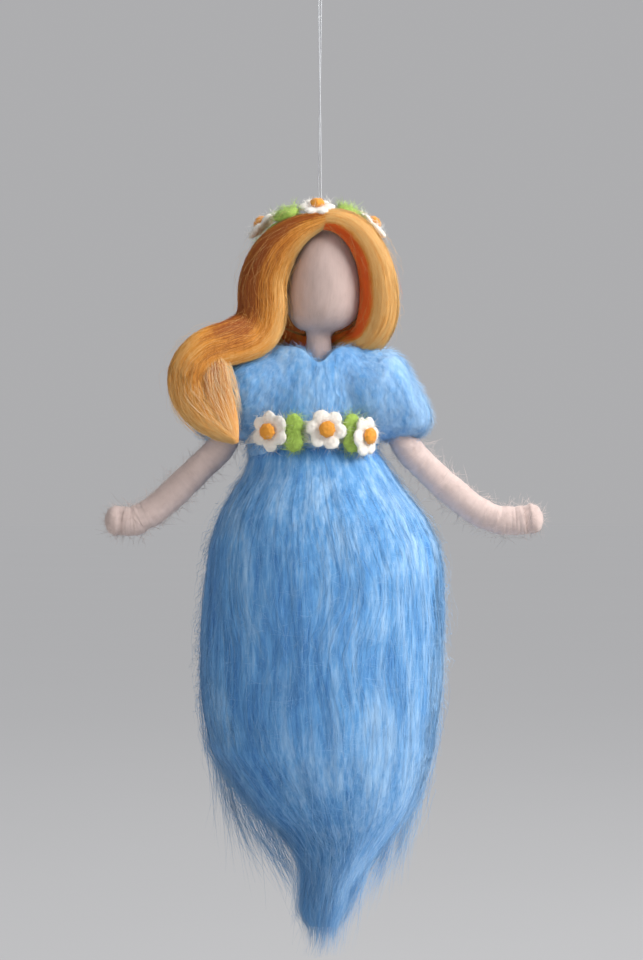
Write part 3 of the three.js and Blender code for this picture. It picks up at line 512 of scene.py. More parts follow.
def own_copy(source, name):
    """A copy of a piece with its own mesh."""
    piece = source.copy()
    piece.data = source.data.copy()
    piece.name = name
    bpy.context.scene.collection.objects.link(piece)
    return piece


def from_cad(name, node, voxel, rounds):
    """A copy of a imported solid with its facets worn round."""
    piece = own_copy(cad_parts[node], name)
    for key in [k for k in piece.keys() if k.startswith("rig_")]:
        del piece[key]
    piece.parent = None
    piece.data.materials.clear()
    piece.hide_render = piece.hide_viewport = False
    edited(piece, bpy.ops.mesh.remove_doubles, threshold=2e-6)
    fused(piece, voxel, rounds)
    return piece


def fused(piece, voxel, rounds):
    """Closes a mesh's parts into one skin and wears it round."""
    apply(piece, "REMESH", mode="VOXEL", voxel_size=voxel * MM, use_smooth_shade=True)
    apply(piece, "SMOOTH", factor=0.5, iterations=rounds)
    shaded(piece, 0.5)
    shade_smooth(piece)


def joined(name, parts):
    """Several meshes as one."""
    select_only(parts[0])
    for part in parts:
        part.select_set(True)
    bpy.ops.object.join()
    parts[0].name = name
    return parts[0]


def kept_side(piece, place, way):
    """Cuts a mesh at a plane and closes the cut; what lies behind the plane goes."""
    select_only(piece)
    bpy.ops.object.mode_set(mode="EDIT")
    bpy.ops.mesh.select_all(action="SELECT")
    bpy.ops.mesh.bisect(plane_co=Vector(place) * MM, plane_no=Vector(way).normalized(),
                        use_fill=True, clear_inner=True)
    bpy.ops.mesh.mark_sharp()
    bpy.ops.object.mode_set(mode="OBJECT")


def combed_map(piece, sweep):
    """Gives a piece a UV map that runs round and along a sweep, for streaks that follow the wool."""
    points = places(piece)
    share = sweep.nearest(points)
    _, across, deep = sweep.axes(share)
    out = points - sweep.centre(share)
    angle = np.arctan2((out * deep).sum(-1), (out * across).sum(-1)) / (2 * math.pi) + 0.5
    mesh = piece.data
    corners = np.empty(len(mesh.loops), int)
    mesh.loops.foreach_get("vertex_index", corners)
    first = np.empty(len(mesh.polygons), int)
    count = np.empty(len(mesh.polygons), int)
    mesh.polygons.foreach_get("loop_start", first)
    mesh.polygons.foreach_get("loop_total", count)
    u = angle[corners]
    widest = np.maximum.reduceat(u, first)
    crossing = np.repeat(widest - np.minimum.reduceat(u, first) > 0.5, count)
    u = np.where(crossing & (u < 0.5), u + 1, u)
    layer = mesh.uv_layers.get("UVMap") or mesh.uv_layers.new(name="UVMap")
    layer.data.foreach_set("uv", np.stack([u, share[corners]], -1).ravel())


def strands(name, paths, ways, radii, shades):
    """Fine closed fibres, one to a path; each gets its own cell of a map and a shade.

    A fibre's shading leans towards the way that the wool under it faces, as light soaks through wool.
    """
    paths, radii = np.asarray(paths), np.asarray(radii)
    count, steps = paths.shape[:2]
    along = unit(np.gradient(paths, axis=1))
    turn = np.where(np.abs(along[:, :1, 2:]) > 0.8, [[[1.0, 0.2, 0.1]]], [[[0.1, 0.2, 1.0]]])
    side = unit(np.cross(along, turn))
    over = np.cross(along, side)
    rings, facing = [], []
    for k in range(3):
        angle = 2 * math.pi * k / 3
        own = math.cos(angle) * side + math.sin(angle) * over
        rings.append(paths + radii[..., None] * own)
        facing.append(unit(own * OWN_SHADING + ways * (1 - OWN_SHADING)))
    vertices = np.stack(rings, 2).reshape(-1, 3) * MM
    base = (np.arange(count) * steps * 3)[:, None, None]
    ring = (np.arange(steps - 1) * 3)[None, :, None]
    k = np.arange(3)[None, None, :]
    after = (k + 1) % 3
    here, beyond = base + ring, base + ring + 3
    quads = np.stack([here + k, here + after, beyond + after, beyond + k], -1).reshape(count, -1)
    start = (np.arange(count) * steps * 3)[:, None] + np.array([[2, 1, 0]])
    end = (np.arange(count) * steps * 3)[:, None] + (steps - 1) * 3 + np.array([[0, 1, 2]])
    loops = np.concatenate([quads, start, end], 1).ravel()
    sizes = np.tile(np.array([4] * (3 * (steps - 1)) + [3, 3]), count)
    mesh = bpy.data.meshes.new(name)
    mesh.vertices.add(len(vertices))
    mesh.vertices.foreach_set("co", vertices.ravel())
    mesh.loops.add(len(loops))
    mesh.loops.foreach_set("vertex_index", loops.astype(np.int32))
    mesh.polygons.add(len(sizes))
    starts = np.concatenate([[0], np.cumsum(sizes)[:-1]])
    mesh.polygons.foreach_set("loop_start", starts.astype(np.int32))
    mesh.polygons.foreach_set("use_smooth", np.ones(len(sizes), bool))
    mesh.update(calc_edges=True)
    # Each fibre's cell of the map
    across = int(math.ceil(math.sqrt(count)))
    cell = np.stack([np.arange(count) % across, np.arange(count) // across], -1) / across
    height = np.repeat(np.arange(steps - 1), 3) / (steps - 1)
    width = np.tile(np.arange(3), steps - 1) / 3
    step = 1 / (steps - 1)
    corner = np.stack([
        np.stack([width, height], -1), np.stack([width + 1 / 3, height], -1),
        np.stack([width + 1 / 3, height + step], -1), np.stack([width, height + step], -1),
    ], 1).reshape(-1, 2)
    caps = np.array([[0.1, 0.0], [0.2, 0.02], [0.3, 0.0], [0.1, 1.0], [0.2, 0.98], [0.3, 1.0]])
    one = (np.concatenate([corner, caps]) * 0.8 + 0.1) / across
    uv = (cell[:, None] + one[None]).reshape(-1, 2)
    mesh.uv_layers.new(name="OFBake").data.foreach_set("uv", uv.ravel())
    shade = mesh.attributes.new("shade", "FLOAT", "POINT")
    shade.data.foreach_set("value", np.repeat(np.asarray(shades).ravel(), 3).astype(np.float32))
    mesh.normals_split_custom_set_from_vertices(np.stack(facing, 2).reshape(-1, 3))
    piece = bpy.data.objects.new(name, mesh)
    bpy.context.scene.collection.objects.link(piece)
    return piece


def tapering(count, steps, thick, random, root=0.35, tip=0.12):
    """Fibre radii that swell from the root and run out to a fine tip."""
    s = np.linspace(0, 1, steps)[None]
    shape = np.minimum(root + (1 - root) * smooth(0, 0.18, s), tip + (1 - tip) * smooth(1, 0.7, s))
    return thick * random.uniform(0.6, 1.3, (count, 1)) * shape


def wavy(random, count, steps, size, waves):
    """A smooth wander for each fibre, nothing at its root."""
    s = np.linspace(0, 1, steps)[None, :, None]
    total = np.zeros((count, steps, 3))
    for wave in waves:
        way = random.normal(0, 1, (count, 1, 3))
        phase = random.uniform(0, 2 * math.pi, (count, 1, 1))
        rate = wave * random.uniform(0.7, 1.3, (count, 1, 1))
        total += way * (np.sin(rate * s * 2 * math.pi + phase) - np.sin(phase))
    return total * size / max(len(waves), 1)


def on_faces(piece, count, random, keep=None):
    """Random places on a mesh, even over its area, where keep allows them."""
    mesh = piece.data
    mesh.calc_loop_triangles()
    corners = np.empty(len(mesh.loop_triangles) * 3, int)
    mesh.loop_triangles.foreach_get("vertices", corners)
    a, b, c = places(piece)[corners.reshape(-1, 3)].transpose(1, 0, 2)
    area = np.linalg.norm(np.cross(b - a, c - a), axis=-1)
    middle = (a + b + c) / 3
    if keep is not None:
        area = area * keep(middle)
    chosen = random.choice(len(area), count, p=area / area.sum())
    u, v = random.uniform(0, 1, (2, count, 1))
    u, v = np.where(u + v > 1, 1 - u, u), np.where(u + v > 1, 1 - v, v)
    return a[chosen] + u * (b - a)[chosen] + v * (c - a)[chosen]


def surface_of(piece):
    """A search tree over a mesh, in millimetres."""
    mesh = piece.data
    points = places(piece)
    faces = [tuple(f.vertices) for f in mesh.polygons]
    return BVHTree.FromPolygons([tuple(p) for p in points], faces)


def settled(tree, points, lift):
    """Points laid on the nearest surface and lifted off it, with the surface's directions there."""
    found, ways = np.empty_like(points), np.empty_like(points)
    for i, point in enumerate(points):
        place, normal, _, _ = tree.find_nearest(point)
        found[i], ways[i] = place, normal
    return found + ways * np.asarray(lift).reshape(-1, 1), ways


def combed(piece, count, length, flow, random, steps, lift, stray, keep=None, wave=0.0):
    """Paths of fibres that lie on a mesh and follow its flow, with their tips lifted a little."""
    tree = surface_of(piece)
    start = on_faces(piece, count, random, keep)
    lengths = random.uniform(*length, (count, 1))
    off = unit(random.normal(0, 1, (count, 3)))
    low, high = lift
    top = random.uniform(0.3, 1, count) * high
    paths, ways = np.empty((2, count, steps, 3))
    place, out = settled(tree, start, low)
    paths[:, 0], ways[:, 0] = place, out
    for k in range(1, steps):
        way = flow(place, out) + off * stray
        if wave:
            off = unit(off + random.normal(0, wave, (count, 3)))
        way = unit(way - (way * out).sum(-1, keepdims=True) * out)
        off_wool = low + (top - low) * (k / (steps - 1)) ** 1.6
        place, out = settled(tree, place + way * lengths / (steps - 1), off_wool)
        paths[:, k], ways[:, k] = place, out
    return paths, ways


def fuzz(piece, count, length, random, steps=5, out=0.7, keep=None, curl=0.5):
    """Paths of short loose fibres that stand off a mesh at a slant and curl."""
    tree = surface_of(piece)
    start = on_faces(piece, count, random, keep)
    place, normal = settled(tree, start, -0.1)
    side = unit(np.cross(normal, random.normal(0, 1, (count, 3))))
    way = unit(side + normal * out * random.uniform(0.2, 1.2, (count, 1)))
    lengths = random.uniform(*length, (count, 1, 1))
    s = np.linspace(0, 1, steps)[None, :, None]
    bend = unit(random.normal(0, 1, (count, 3)))[:, None]
    paths = place[:, None] + lengths * (way[:, None] * s + bend * curl * s * s)
    return paths, np.broadcast_to(normal[:, None], paths.shape)


def strewn(random, count, steps, starts, lengths, turn):
    """Fibres strewn along a sweep: how far along itself each is at each step, its share and its angle."""
    s = np.linspace(0, 1, steps)[None]
    share = random.uniform(*starts, (count, 1)) + random.uniform(*lengths, (count, 1)) * s
    angle = random.uniform(0, 2 * math.pi, (count, 1)) + random.normal(0, turn, (count, 1)) * s
    return s, share, angle


def arched(random, s, count, high, arch=0.6, power=2, least=0.0):
    """Heights off the wool that rise along each fibre and fall again; most fibres stay low."""
    return random.uniform(least, 1, (count, 1)) ** power * high * np.sin(math.pi * arch * s)


# Finishes

class Value:
    """A number in a shader, with Python's arithmetic."""

    def __init__(self, finish, socket):
        self.finish = finish
        self.socket = socket

    def _with(self, operation, *values):
        return self.finish.maths(operation, *values)

    def __add__(self, other):
        return self._with("ADD", self, other)

    def __sub__(self, other):
        return self._with("SUBTRACT", self, other)

    def __rsub__(self, other):
        return self._with("SUBTRACT", other, self)

    def __mul__(self, other):
        return self._with("MULTIPLY", self, other)

    __radd__ = __add__


class Finish:
    """A material built node by node."""

    def __init__(self, name, **constants):
        self.material = bpy.data.materials.new(name)
        self.material.use_nodes = True
        self.tree = self.material.node_tree
        self.tree.nodes.clear()
        self.shader = self.node("ShaderNodeBsdfPrincipled", {})
        for socket, value in constants.items():
            self.shader.inputs[socket.replace("_", " ")].default_value = value
        self.node("ShaderNodeOutputMaterial", {"Surface": self.shader.outputs[0]})

    def node(self, kind, inputs, **settings):
        """Any node: its settings first, then values or links for its sockets."""
        made = self.tree.nodes.new(kind)
        stops = settings.pop("stops", None)
        for key, value in settings.items():
            setattr(made, key, value)
        if stops:
            ramp = made.color_ramp
            while len(ramp.elements) < len(stops):
                ramp.elements.new(0.5)
            for element, (place, colour) in zip(ramp.elements, stops):
                element.position = place
                element.color = (*colour, 1)
        for key, value in inputs.items():
            value = value.socket if isinstance(value, Value) else value
            if isinstance(value, bpy.types.NodeSocket):
                self.tree.links.new(made.inputs[key], value)
            else:
                made.inputs[key].default_value = value
        return made

    def maths(self, operation, *values):
        made = self.node("ShaderNodeMath", dict(enumerate(values)), operation=operation)
        return Value(self, made.outputs[0])

    def noise(self, vector, scale, detail=2.0, rough=0.5, distortion=0.0):
        inputs = {"Vector": vector, "Scale": scale, "Detail": detail, "Roughness": rough,
                  "Distortion": distortion}
        return Value(self, self.node("ShaderNodeTexNoise", inputs).outputs["Fac"])

    def own_shade(self):
        """The shade that each point of a piece holds."""
        return Value(self, self.node("ShaderNodeAttribute", {}, attribute_name="shade").outputs["Fac"])

    def mottle(self, flat):
        """The light and dark places of combed wool; a smaller flat draws them out along it."""
        fine = self.noise(self.coordinates("Object", (1, 1, 0.35 * flat), (0, -0.15, 0)), 1100, 2, 0.6)
        broad = self.noise(self.coordinates("Object", (1, 1, 0.22 * flat), (0, -0.12, 0)), 260, 2, 0.6, 0.5)
        return fine * 0.45 + broad * 0.55

    def ramp(self, value, stops):
        return self.node("ShaderNodeValToRGB", {"Fac": value}, stops=stops).outputs["Color"]

    def coordinates(self, source="Object", scale=(1, 1, 1), turn=(0, 0, 0)):
        where = self.node("ShaderNodeTexCoord", {}).outputs[source]
        mapping = {"Vector": where, "Rotation": turn, "Scale": scale}
        return self.node("ShaderNodeMapping", mapping).outputs[0]

    def colour(self, socket):
        self.tree.links.new(self.shader.inputs["Base Color"], socket)

    def roughness(self, value):
        self.tree.links.new(self.shader.inputs["Roughness"], value.socket)

    def bump(self, height, strength, distance=0.2):
        """Relief in the shading only, its distance in millimetres."""
        inputs = {"Height": height, "Strength": strength, "Distance": distance * MM}
        made = self.node("ShaderNodeBump", inputs)
        self.tree.links.new(self.shader.inputs["Normal"], made.outputs[0])


def shades_of(dark, middle, light):
    """Stops of a ramp from the shadowed to the lit fibres of a wool."""
    return [(0.22, dark), (0.5, middle), (0.78, light)]


def combed_wool(name, shades, around=90, along=4, sheen=0.25, bump=0.5, mottled=0.5, flat=1.0):
    """Wool whose fibres run along a piece's own map, in streaks within locks.

    Around and along say how many streaks there are, mottled how much light and dark places show.
    """
    finish = Finish(name, Roughness=0.8, Sheen_Weight=sheen, Sheen_Roughness=0.5)
    warp = finish.noise(finish.coordinates("UV", (5, 3, 1)), 1.0, 1)
    where = finish.node("ShaderNodeTexCoord", {}).outputs["UV"]
    drift = finish.node("ShaderNodeCombineXYZ", {"X": (warp - 0.5) * 0.05})
    moved = finish.node("ShaderNodeVectorMath", {0: where, 1: drift.outputs[0]}, operation="ADD")

    def streaks(wide, long, detail):
        mapping = {"Vector": moved.outputs[0], "Scale": (wide, long, 1)}
        scaled = finish.node("ShaderNodeMapping", mapping).outputs[0]
        return finish.noise(scaled, 1.0, detail, 0.6)

    locks = streaks(around * 0.35, along * 0.8, 1)
    fibres = streaks(around * 2.2, along * 1.6, 3)
    streaky = finish.own_shade() + (locks - 0.5) * 0.3 + (fibres - 0.5) * 0.3
    value = streaky + (finish.mottle(flat) - 0.5) * mottled
    finish.colour(finish.ramp(value, shades_of(*shades)))
    finish.roughness(0.68 + fibres * 0.25)
    finish.bump(fibres * 0.7 + locks * 0.3, bump)
    return finish.material


def fibre_wool(name, shades, sheen=0.3, roughness=0.75, mottled=0.5, flat=1.0):
    """Single fibres: each has its own shade, which varies a little along it."""
    finish = Finish(name, Roughness=roughness, Sheen_Weight=sheen, Sheen_Roughness=0.5)
    value = finish.own_shade() + (finish.mottle(flat) - 0.5) * mottled
    finish.colour(finish.ramp(value, shades_of(*shades)))
    return finish.material


def needled_felt(name, shades, scale=700, bump=0.6, sheen=0.2):
    """Dense felt, matted in every direction, with the small dents that the needle leaves."""
    finish = Finish(name, Roughness=0.85, Sheen_Weight=sheen, Sheen_Roughness=0.5)
    where = finish.coordinates("Object")
    matted = finish.noise(where, scale, 4, 0.65, 1.2)
    cloudy = finish.noise(where, scale * 0.25, 2)
    dents = finish.node("ShaderNodeTexVoronoi", {"Vector": where, "Scale": scale * 0.9})
    value = matted * 0.55 + cloudy * 0.45
    finish.colour(finish.ramp(value, shades_of(*shades)))
    finish.roughness(0.75 + matted * 0.2)
    finish.bump(matted * 0.7 + Value(finish, dents.outputs["Distance"]) * 0.3, bump)
    return finish.material


def wound_wool(name, shades):
    """Wool wound round a wire: faint turns across the piece, at the pitch of the winding."""
    finish = Finish(name, Roughness=0.85, Sheen_Weight=0.3, Sheen_Roughness=0.5)
    turns = finish.noise(finish.coordinates("UV", (2.5, 26, 1)), 1.0, 2, 0.5)
    fine = finish.noise(finish.coordinates("UV", (9, 110, 1)), 1.0, 3, 0.6)
    felted = finish.noise(finish.coordinates("Object"), 900, 3)
    finish.colour(finish.ramp(turns * 0.4 + fine * 0.35 + felted * 0.25, shades_of(*shades)))
    finish.roughness(0.75 + fine * 0.2)
    finish.bump(turns * 0.4 + fine * 0.6, 0.3)
    return finish.material


def clear_nylon():
    """Clear drawn nylon, with a few faint scuffs."""
    finish = Finish("clear_nylon", Transmission_Weight=0.55, IOR=1.53)
    scuffs = finish.noise(finish.coordinates("Object"), 500, 3)
    finish.colour(finish.ramp(scuffs, [(0.3, (0.8, 0.82, 0.85)), (0.7, (0.9, 0.91, 0.93))]))
    finish.roughness(0.12 + scuffs * 0.2)
    return finish.material


def twisted_steel():
    """Twisted steel wire: slanting ridges, and a little dullness in the grooves."""
    finish = Finish("twisted_steel", Metallic=1.0)
    where = finish.coordinates("Object")
    wave = finish.node("ShaderNodeTexWave", {"Vector": where, "Scale": 500, "Distortion": 0.6},
                       bands_direction="DIAGONAL")
    ridges = Value(finish, wave.outputs["Fac"])
    finish.colour(finish.ramp(ridges, [(0.2, (0.2, 0.2, 0.21)), (0.8, (0.56, 0.57, 0.58))]))
    finish.roughness(0.3 + (1 - ridges) * 0.3)
    finish.bump(ridges, 0.6, 0.15)
    return finish.material


# What a user may change

def colour_setting(name, description, default):
    return bpy.props.FloatVectorProperty(
        name=name, description=description, default=default, size=3, subtype="COLOR", min=0, max=1)


class FeltDollColours(bpy.types.PropertyGroup):
    """The wools' own colours."""

    skin: colour_setting("Skin", "Face, neck and arms", (0.68, 0.53, 0.485))
    dress: colour_setting("Dress", "Bodice, sleeves and skirt", (0.14, 0.39, 0.75))
    hair: colour_setting("Hair", "Middle fibres of the hair", (0.87, 0.35, 0.035))
    # Painted glow: a vivid red that stands for hair in shade, lit through by light that soaks through it,
    # on the locks' inner sides and the nape
    hair_shade_glow: colour_setting("Hair, in its depth", "Fibres inside the locks", (0.94, 0.135, 0.005))
    petals: colour_setting("Petals", "Felt of the flowers and the belt", (0.92, 0.86, 0.78))
    centres: colour_setting("Flower centres", "Felt of the middles", (0.82, 0.33, 0.03))
    leaves: colour_setting("Leaves", "Green tufts", (0.40, 0.58, 0.10))


class FeltDollFibres(bpy.types.PropertyGroup):
    """How much loose wool shows."""

    fullness: bpy.props.FloatProperty(
        name="Fullness", description="Share of the loose fibres that are made", default=1.0,
        min=0.05, max=1.2, subtype="FACTOR")
    thickness: bpy.props.FloatProperty(
        name="Fibre thickness", description="Radius of a fine streak of fibres", default=0.036 * MM,
        min=0.01 * MM, max=0.5 * MM, unit="LENGTH", precision=5)


class FeltDollStage(bpy.types.PropertyGroup):
    """Camera, lamps and floor."""

    distance: bpy.props.FloatProperty(
        name="Camera distance", description="From the lens to the doll", default=0.7,
        min=0.3, max=3, unit="LENGTH")
    view_height: bpy.props.FloatProperty(
        name="View height", description="Height of the view at the doll", default=0.2496,
        min=0.1, max=1, unit="LENGTH")
    key: bpy.props.FloatProperty(
        name="Key lamp", description="Strength of the lamp on the right", default=1.0,
        min=0, max=5, subtype="FACTOR")


def colours():
    return bpy.context.scene.felt_doll_colours


def some(number):
    """A number of fibres, fewer while trying things."""
    share = bpy.context.scene.felt_doll_fibres.fullness * 1.0
    return max(8, int(number * share))


def thickness():
    return bpy.context.scene.felt_doll_fibres.thickness / MM


def tones(colour, low=0.6, high=1.25, depth=1.0):
    """A darker, a plain and a lighter shade of a colour; depth over one makes the dark more vivid."""
    base = np.array(colour[:3])
    dark = base.max() * low * (base / base.max()) ** depth
    light = np.clip(base * high + 0.03, 0, 0.95)
    return tuple(dark), tuple(base), tuple(light)


def blues():
    """The dress's shades: vivid where it is dark, and hazy where it is light."""
    dark = tones(colours().dress, low=0.78, depth=1.4)[0]
    return dark, tuple(colours().dress), BLUE_HAZE


def finished(piece, body, material, slot, *stands_for):
    """Gives a piece its material and hides the imported parts that it stands for. A piece with one body is
    put under that body; any other has its place baked into its mesh.
    """
    piece.data.materials.clear()
    piece.data.materials.append(material)
    if isinstance(body, str):
        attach(piece, body)
    else:
        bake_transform(piece)
    if stands_for:
        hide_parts(*stands_for)
    return piece


def as_packed(nodes, material):
    """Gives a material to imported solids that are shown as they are."""
    for node in nodes:
        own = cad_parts[node]
        own.data.materials.clear()
        own.data.materials.append(material)


def fibres_on(name, lines, thick, random, body, material, slot, shade=(0.5, 0.12)):
    """Fibres as a finished piece, from their paths and the ways they face.

    Thick is a radius in millimetres, and shade the middle shade and its spread.
    """
    paths, ways = lines
    count, steps = paths.shape[:2]
    own = np.asarray(shade[0]) + random.normal(0, shade[1], (count, 1))
    drift = np.cumsum(random.normal(0, 0.04, (count, steps)), 1)
    radii = tapering(count, steps, thick, random)
    piece = strands(name, paths, ways, radii, np.clip(own + drift, 0, 1))
    return finished(piece, body, material, slot)


def fuzzed(name, piece, count, length, thick, random, body, material, slot, shade=(0.5, 0.12), **form):
    """Short loose fibres that stand off a piece, as a piece of their own."""
    lines = fuzz(piece, some(count), length, random, **form)
    fibres_on(name, lines, thick, random, body, material, slot, shade)


# Thread

class FELTDOLL_OT_thread(bpy.types.Operator):
    """Makes the two strands that the doll hangs on, and gives loop, knot and stitch their nylon"""

    bl_idname = "felt_doll.thread"
    bl_label = "Hanging thread"

    def execute(self, context):
        nylon = clear_nylon()
        as_packed(("hanging_loop", "thread_knot", "thread_stitch"), nylon)
        for side, turn in (("left", math.pi), ("right", 0.0)):
            share = np.linspace(0, 1, STRAND_STEPS + 1)
            angle = turn + share * math.pi
            route = np.stack([
                STRAND_APART / 2 * np.cos(angle), STRAND_APART / 2 * np.sin(angle),
                STRAND_TOP_Z - STRAND_LENGTH * share], -1)[::-1] * MM
            curve = bpy.data.curves.new(f"nylon_strand_{side}", "CURVE")
            curve.dimensions = "3D"
            curve.bevel_depth = THREAD_DIAMETER / 2 * MM
            curve.bevel_resolution = 3
            curve.use_fill_caps = True
            spline = curve.splines.new("POLY")
            spline.points.add(len(route) - 1)
            spline.points.foreach_set("co", np.column_stack([route, np.ones(len(route))]).ravel())
            strand = bpy.data.objects.new(f"nylon_strand_{side}", curve)
            context.scene.collection.objects.link(strand)
            curve.materials.append(nylon)
            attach(strand, "thread")
            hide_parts(f"thread_strand_{side}")
        return {"FINISHED"}


# Head

def head_sweep():
    """The head, round at the chin and longer above, drawn in to the neck."""
    rows = []
    for degrees in HEAD_RINGS:
        turn = math.radians(degrees)
        above = degrees < 90
        power = TOP_ROUND if above else CHIN_ROUND
        high = HEAD_TOP - HEAD_WIDEST if above else HEAD_WIDEST - CHIN_Z
        wide = math.sin(turn) ** power
        down = math.cos(turn) if above else -abs(math.cos(turn)) ** power
        aside = CHIN_ASIDE * smooth(*CHIN_TURN, degrees)
        half = [max(size * wide, 0.05) for size in HEAD_HALF[:2]]
        rows.append([HEAD[0] + aside, HEAD[1], HEAD_WIDEST + high * down, *half])
    rows += [
        [NECK_X + 0.1, -1.4, CHIN_Z - 0.5, 3.3, 3.3],
        [NECK_X, -1.2, CHIN_Z - 1.6, 3.15, 3.2],
        [NECK_X, -1.2, SHOULDERS_Z - 0.2, 3.2, 3.25],
        [NECK_X, -1.1, SHOULDERS_Z - 2.4, 3.35, 3.4],
        [NECK_X, -1, SHOULDERS_Z - 4.6, 3.3, 3.3],
    ]
    lumps, fine = Grain(3, 9, 7), Grain(4, 40, 18)

    def relief(share, angle):
        return 0.12 * lumps(angle, share) + 0.05 * fine(angle, share)

    return Sweep(rows, relief, level=True)


class FELTDOLL_OT_head(bpy.types.Operator):
    """Makes the felted head and neck over its wool core"""

    bl_idname = "felt_doll.head"
    bl_label = "Head"

    def execute(self, context):
        random = np.random.default_rng(11)
        skin = tones(np.array(colours().skin) * FACE_SHADE, low=0.82, high=1.08)
        head = wrapped("felted_head", head_sweep(), around=96, rings=150)
        felt = combed_wool("skin_felt", skin, around=60, along=9, sheen=0.3, bump=0.25)
        finished(head, "doll", felt, "skin_wool", "face_skin")
        fuzzed("head_fuzz", head, 700, (0.8, 2.2), 0.028, random, "doll", fibre_wool("skin_fibres", skin),
               "skin_wool", (0.62, 0.15), keep=self.above_neck, out=0.35, curl=0.3)
        core = from_cad("wool_core_bundle", "wool_core", voxel=0.8, rounds=4)
        roughen(core, size=3, strength=0.5)
        finished(core, "doll", needled_felt("core_wool_felt", tones(CORE_WOOL)), "core_wool", "wool_core")
        tie_turns("neck_binding", "neck_tie", CORE_WOOL, "core_wool")
        return {"FINISHED"}

    def above_neck(self, points):
        return (points[:, 2] > SHOULDERS_Z - 1) * 1.0


def tie_turns(name, node, colour, slot, drawn_in=1.0):
    """The turns of a binding thread, drawn in as tight as it really is."""
    own = from_cad(name, node, voxel=0.24, rounds=1)
    points = places(own)
    middle = points.mean(0)
    set_places(own, middle + (points - middle) * [drawn_in, drawn_in, 1.0])
    roughen(own, size=0.4, strength=0.05)
    material = needled_felt(name + "_wool", tones(colour, low=0.55, high=1.2), scale=1500, bump=0.5)
    finished(own, "doll", material, slot, node)


# Dress

def shoulders_sweep():
    """The bodice's own wool under the sleeves, which shows where an arm is raised."""
    rows = []
    for down, wide, deep in SHOULDER_ROWS:
        x = NECK_X + (BODICE_X - NECK_X) * min(1, 3 * down)
        half = [wide * BODICE_HALF[0], deep * BODICE_HALF[1]]
        rows.append([x, -1, SHOULDERS_Z - down * BODICE_LENGTH, *half])
    return Sweep(rows)


def yoke_sweep(side):
    """The wool that fills the dip between the neck and the top of a sleeve."""
    pivot, way = SHOULDER[side], SIDE[side]
    rows = [
        [NECK_X + way * 2.5, -1.2, -120.5, 2, 3],
        [NECK_X + way * 8, -1.2, -122.5, 7.4, 9.5],
        [pivot[0] - way * 6.5, -1, -126.2, 11.0, 11.2],
        [pivot[0] - way * 1, -0.8, -126.9, 11.4, 10.6],
        [pivot[0] + way * 5, -0.5, -128, 8.8, 8.4],
        [pivot[0] + way * 8.5, -0.5, -129, 3, 3],
    ]
    return Sweep(rows)


def painted_light_dress_tone(piece):
    """Gives the dress its tone, with painted light: a little paler on the right, towards the key lamp."""
    shaded(piece, 0.58 + 0.12 * smooth(5, 20, places(piece)[:, 0]))


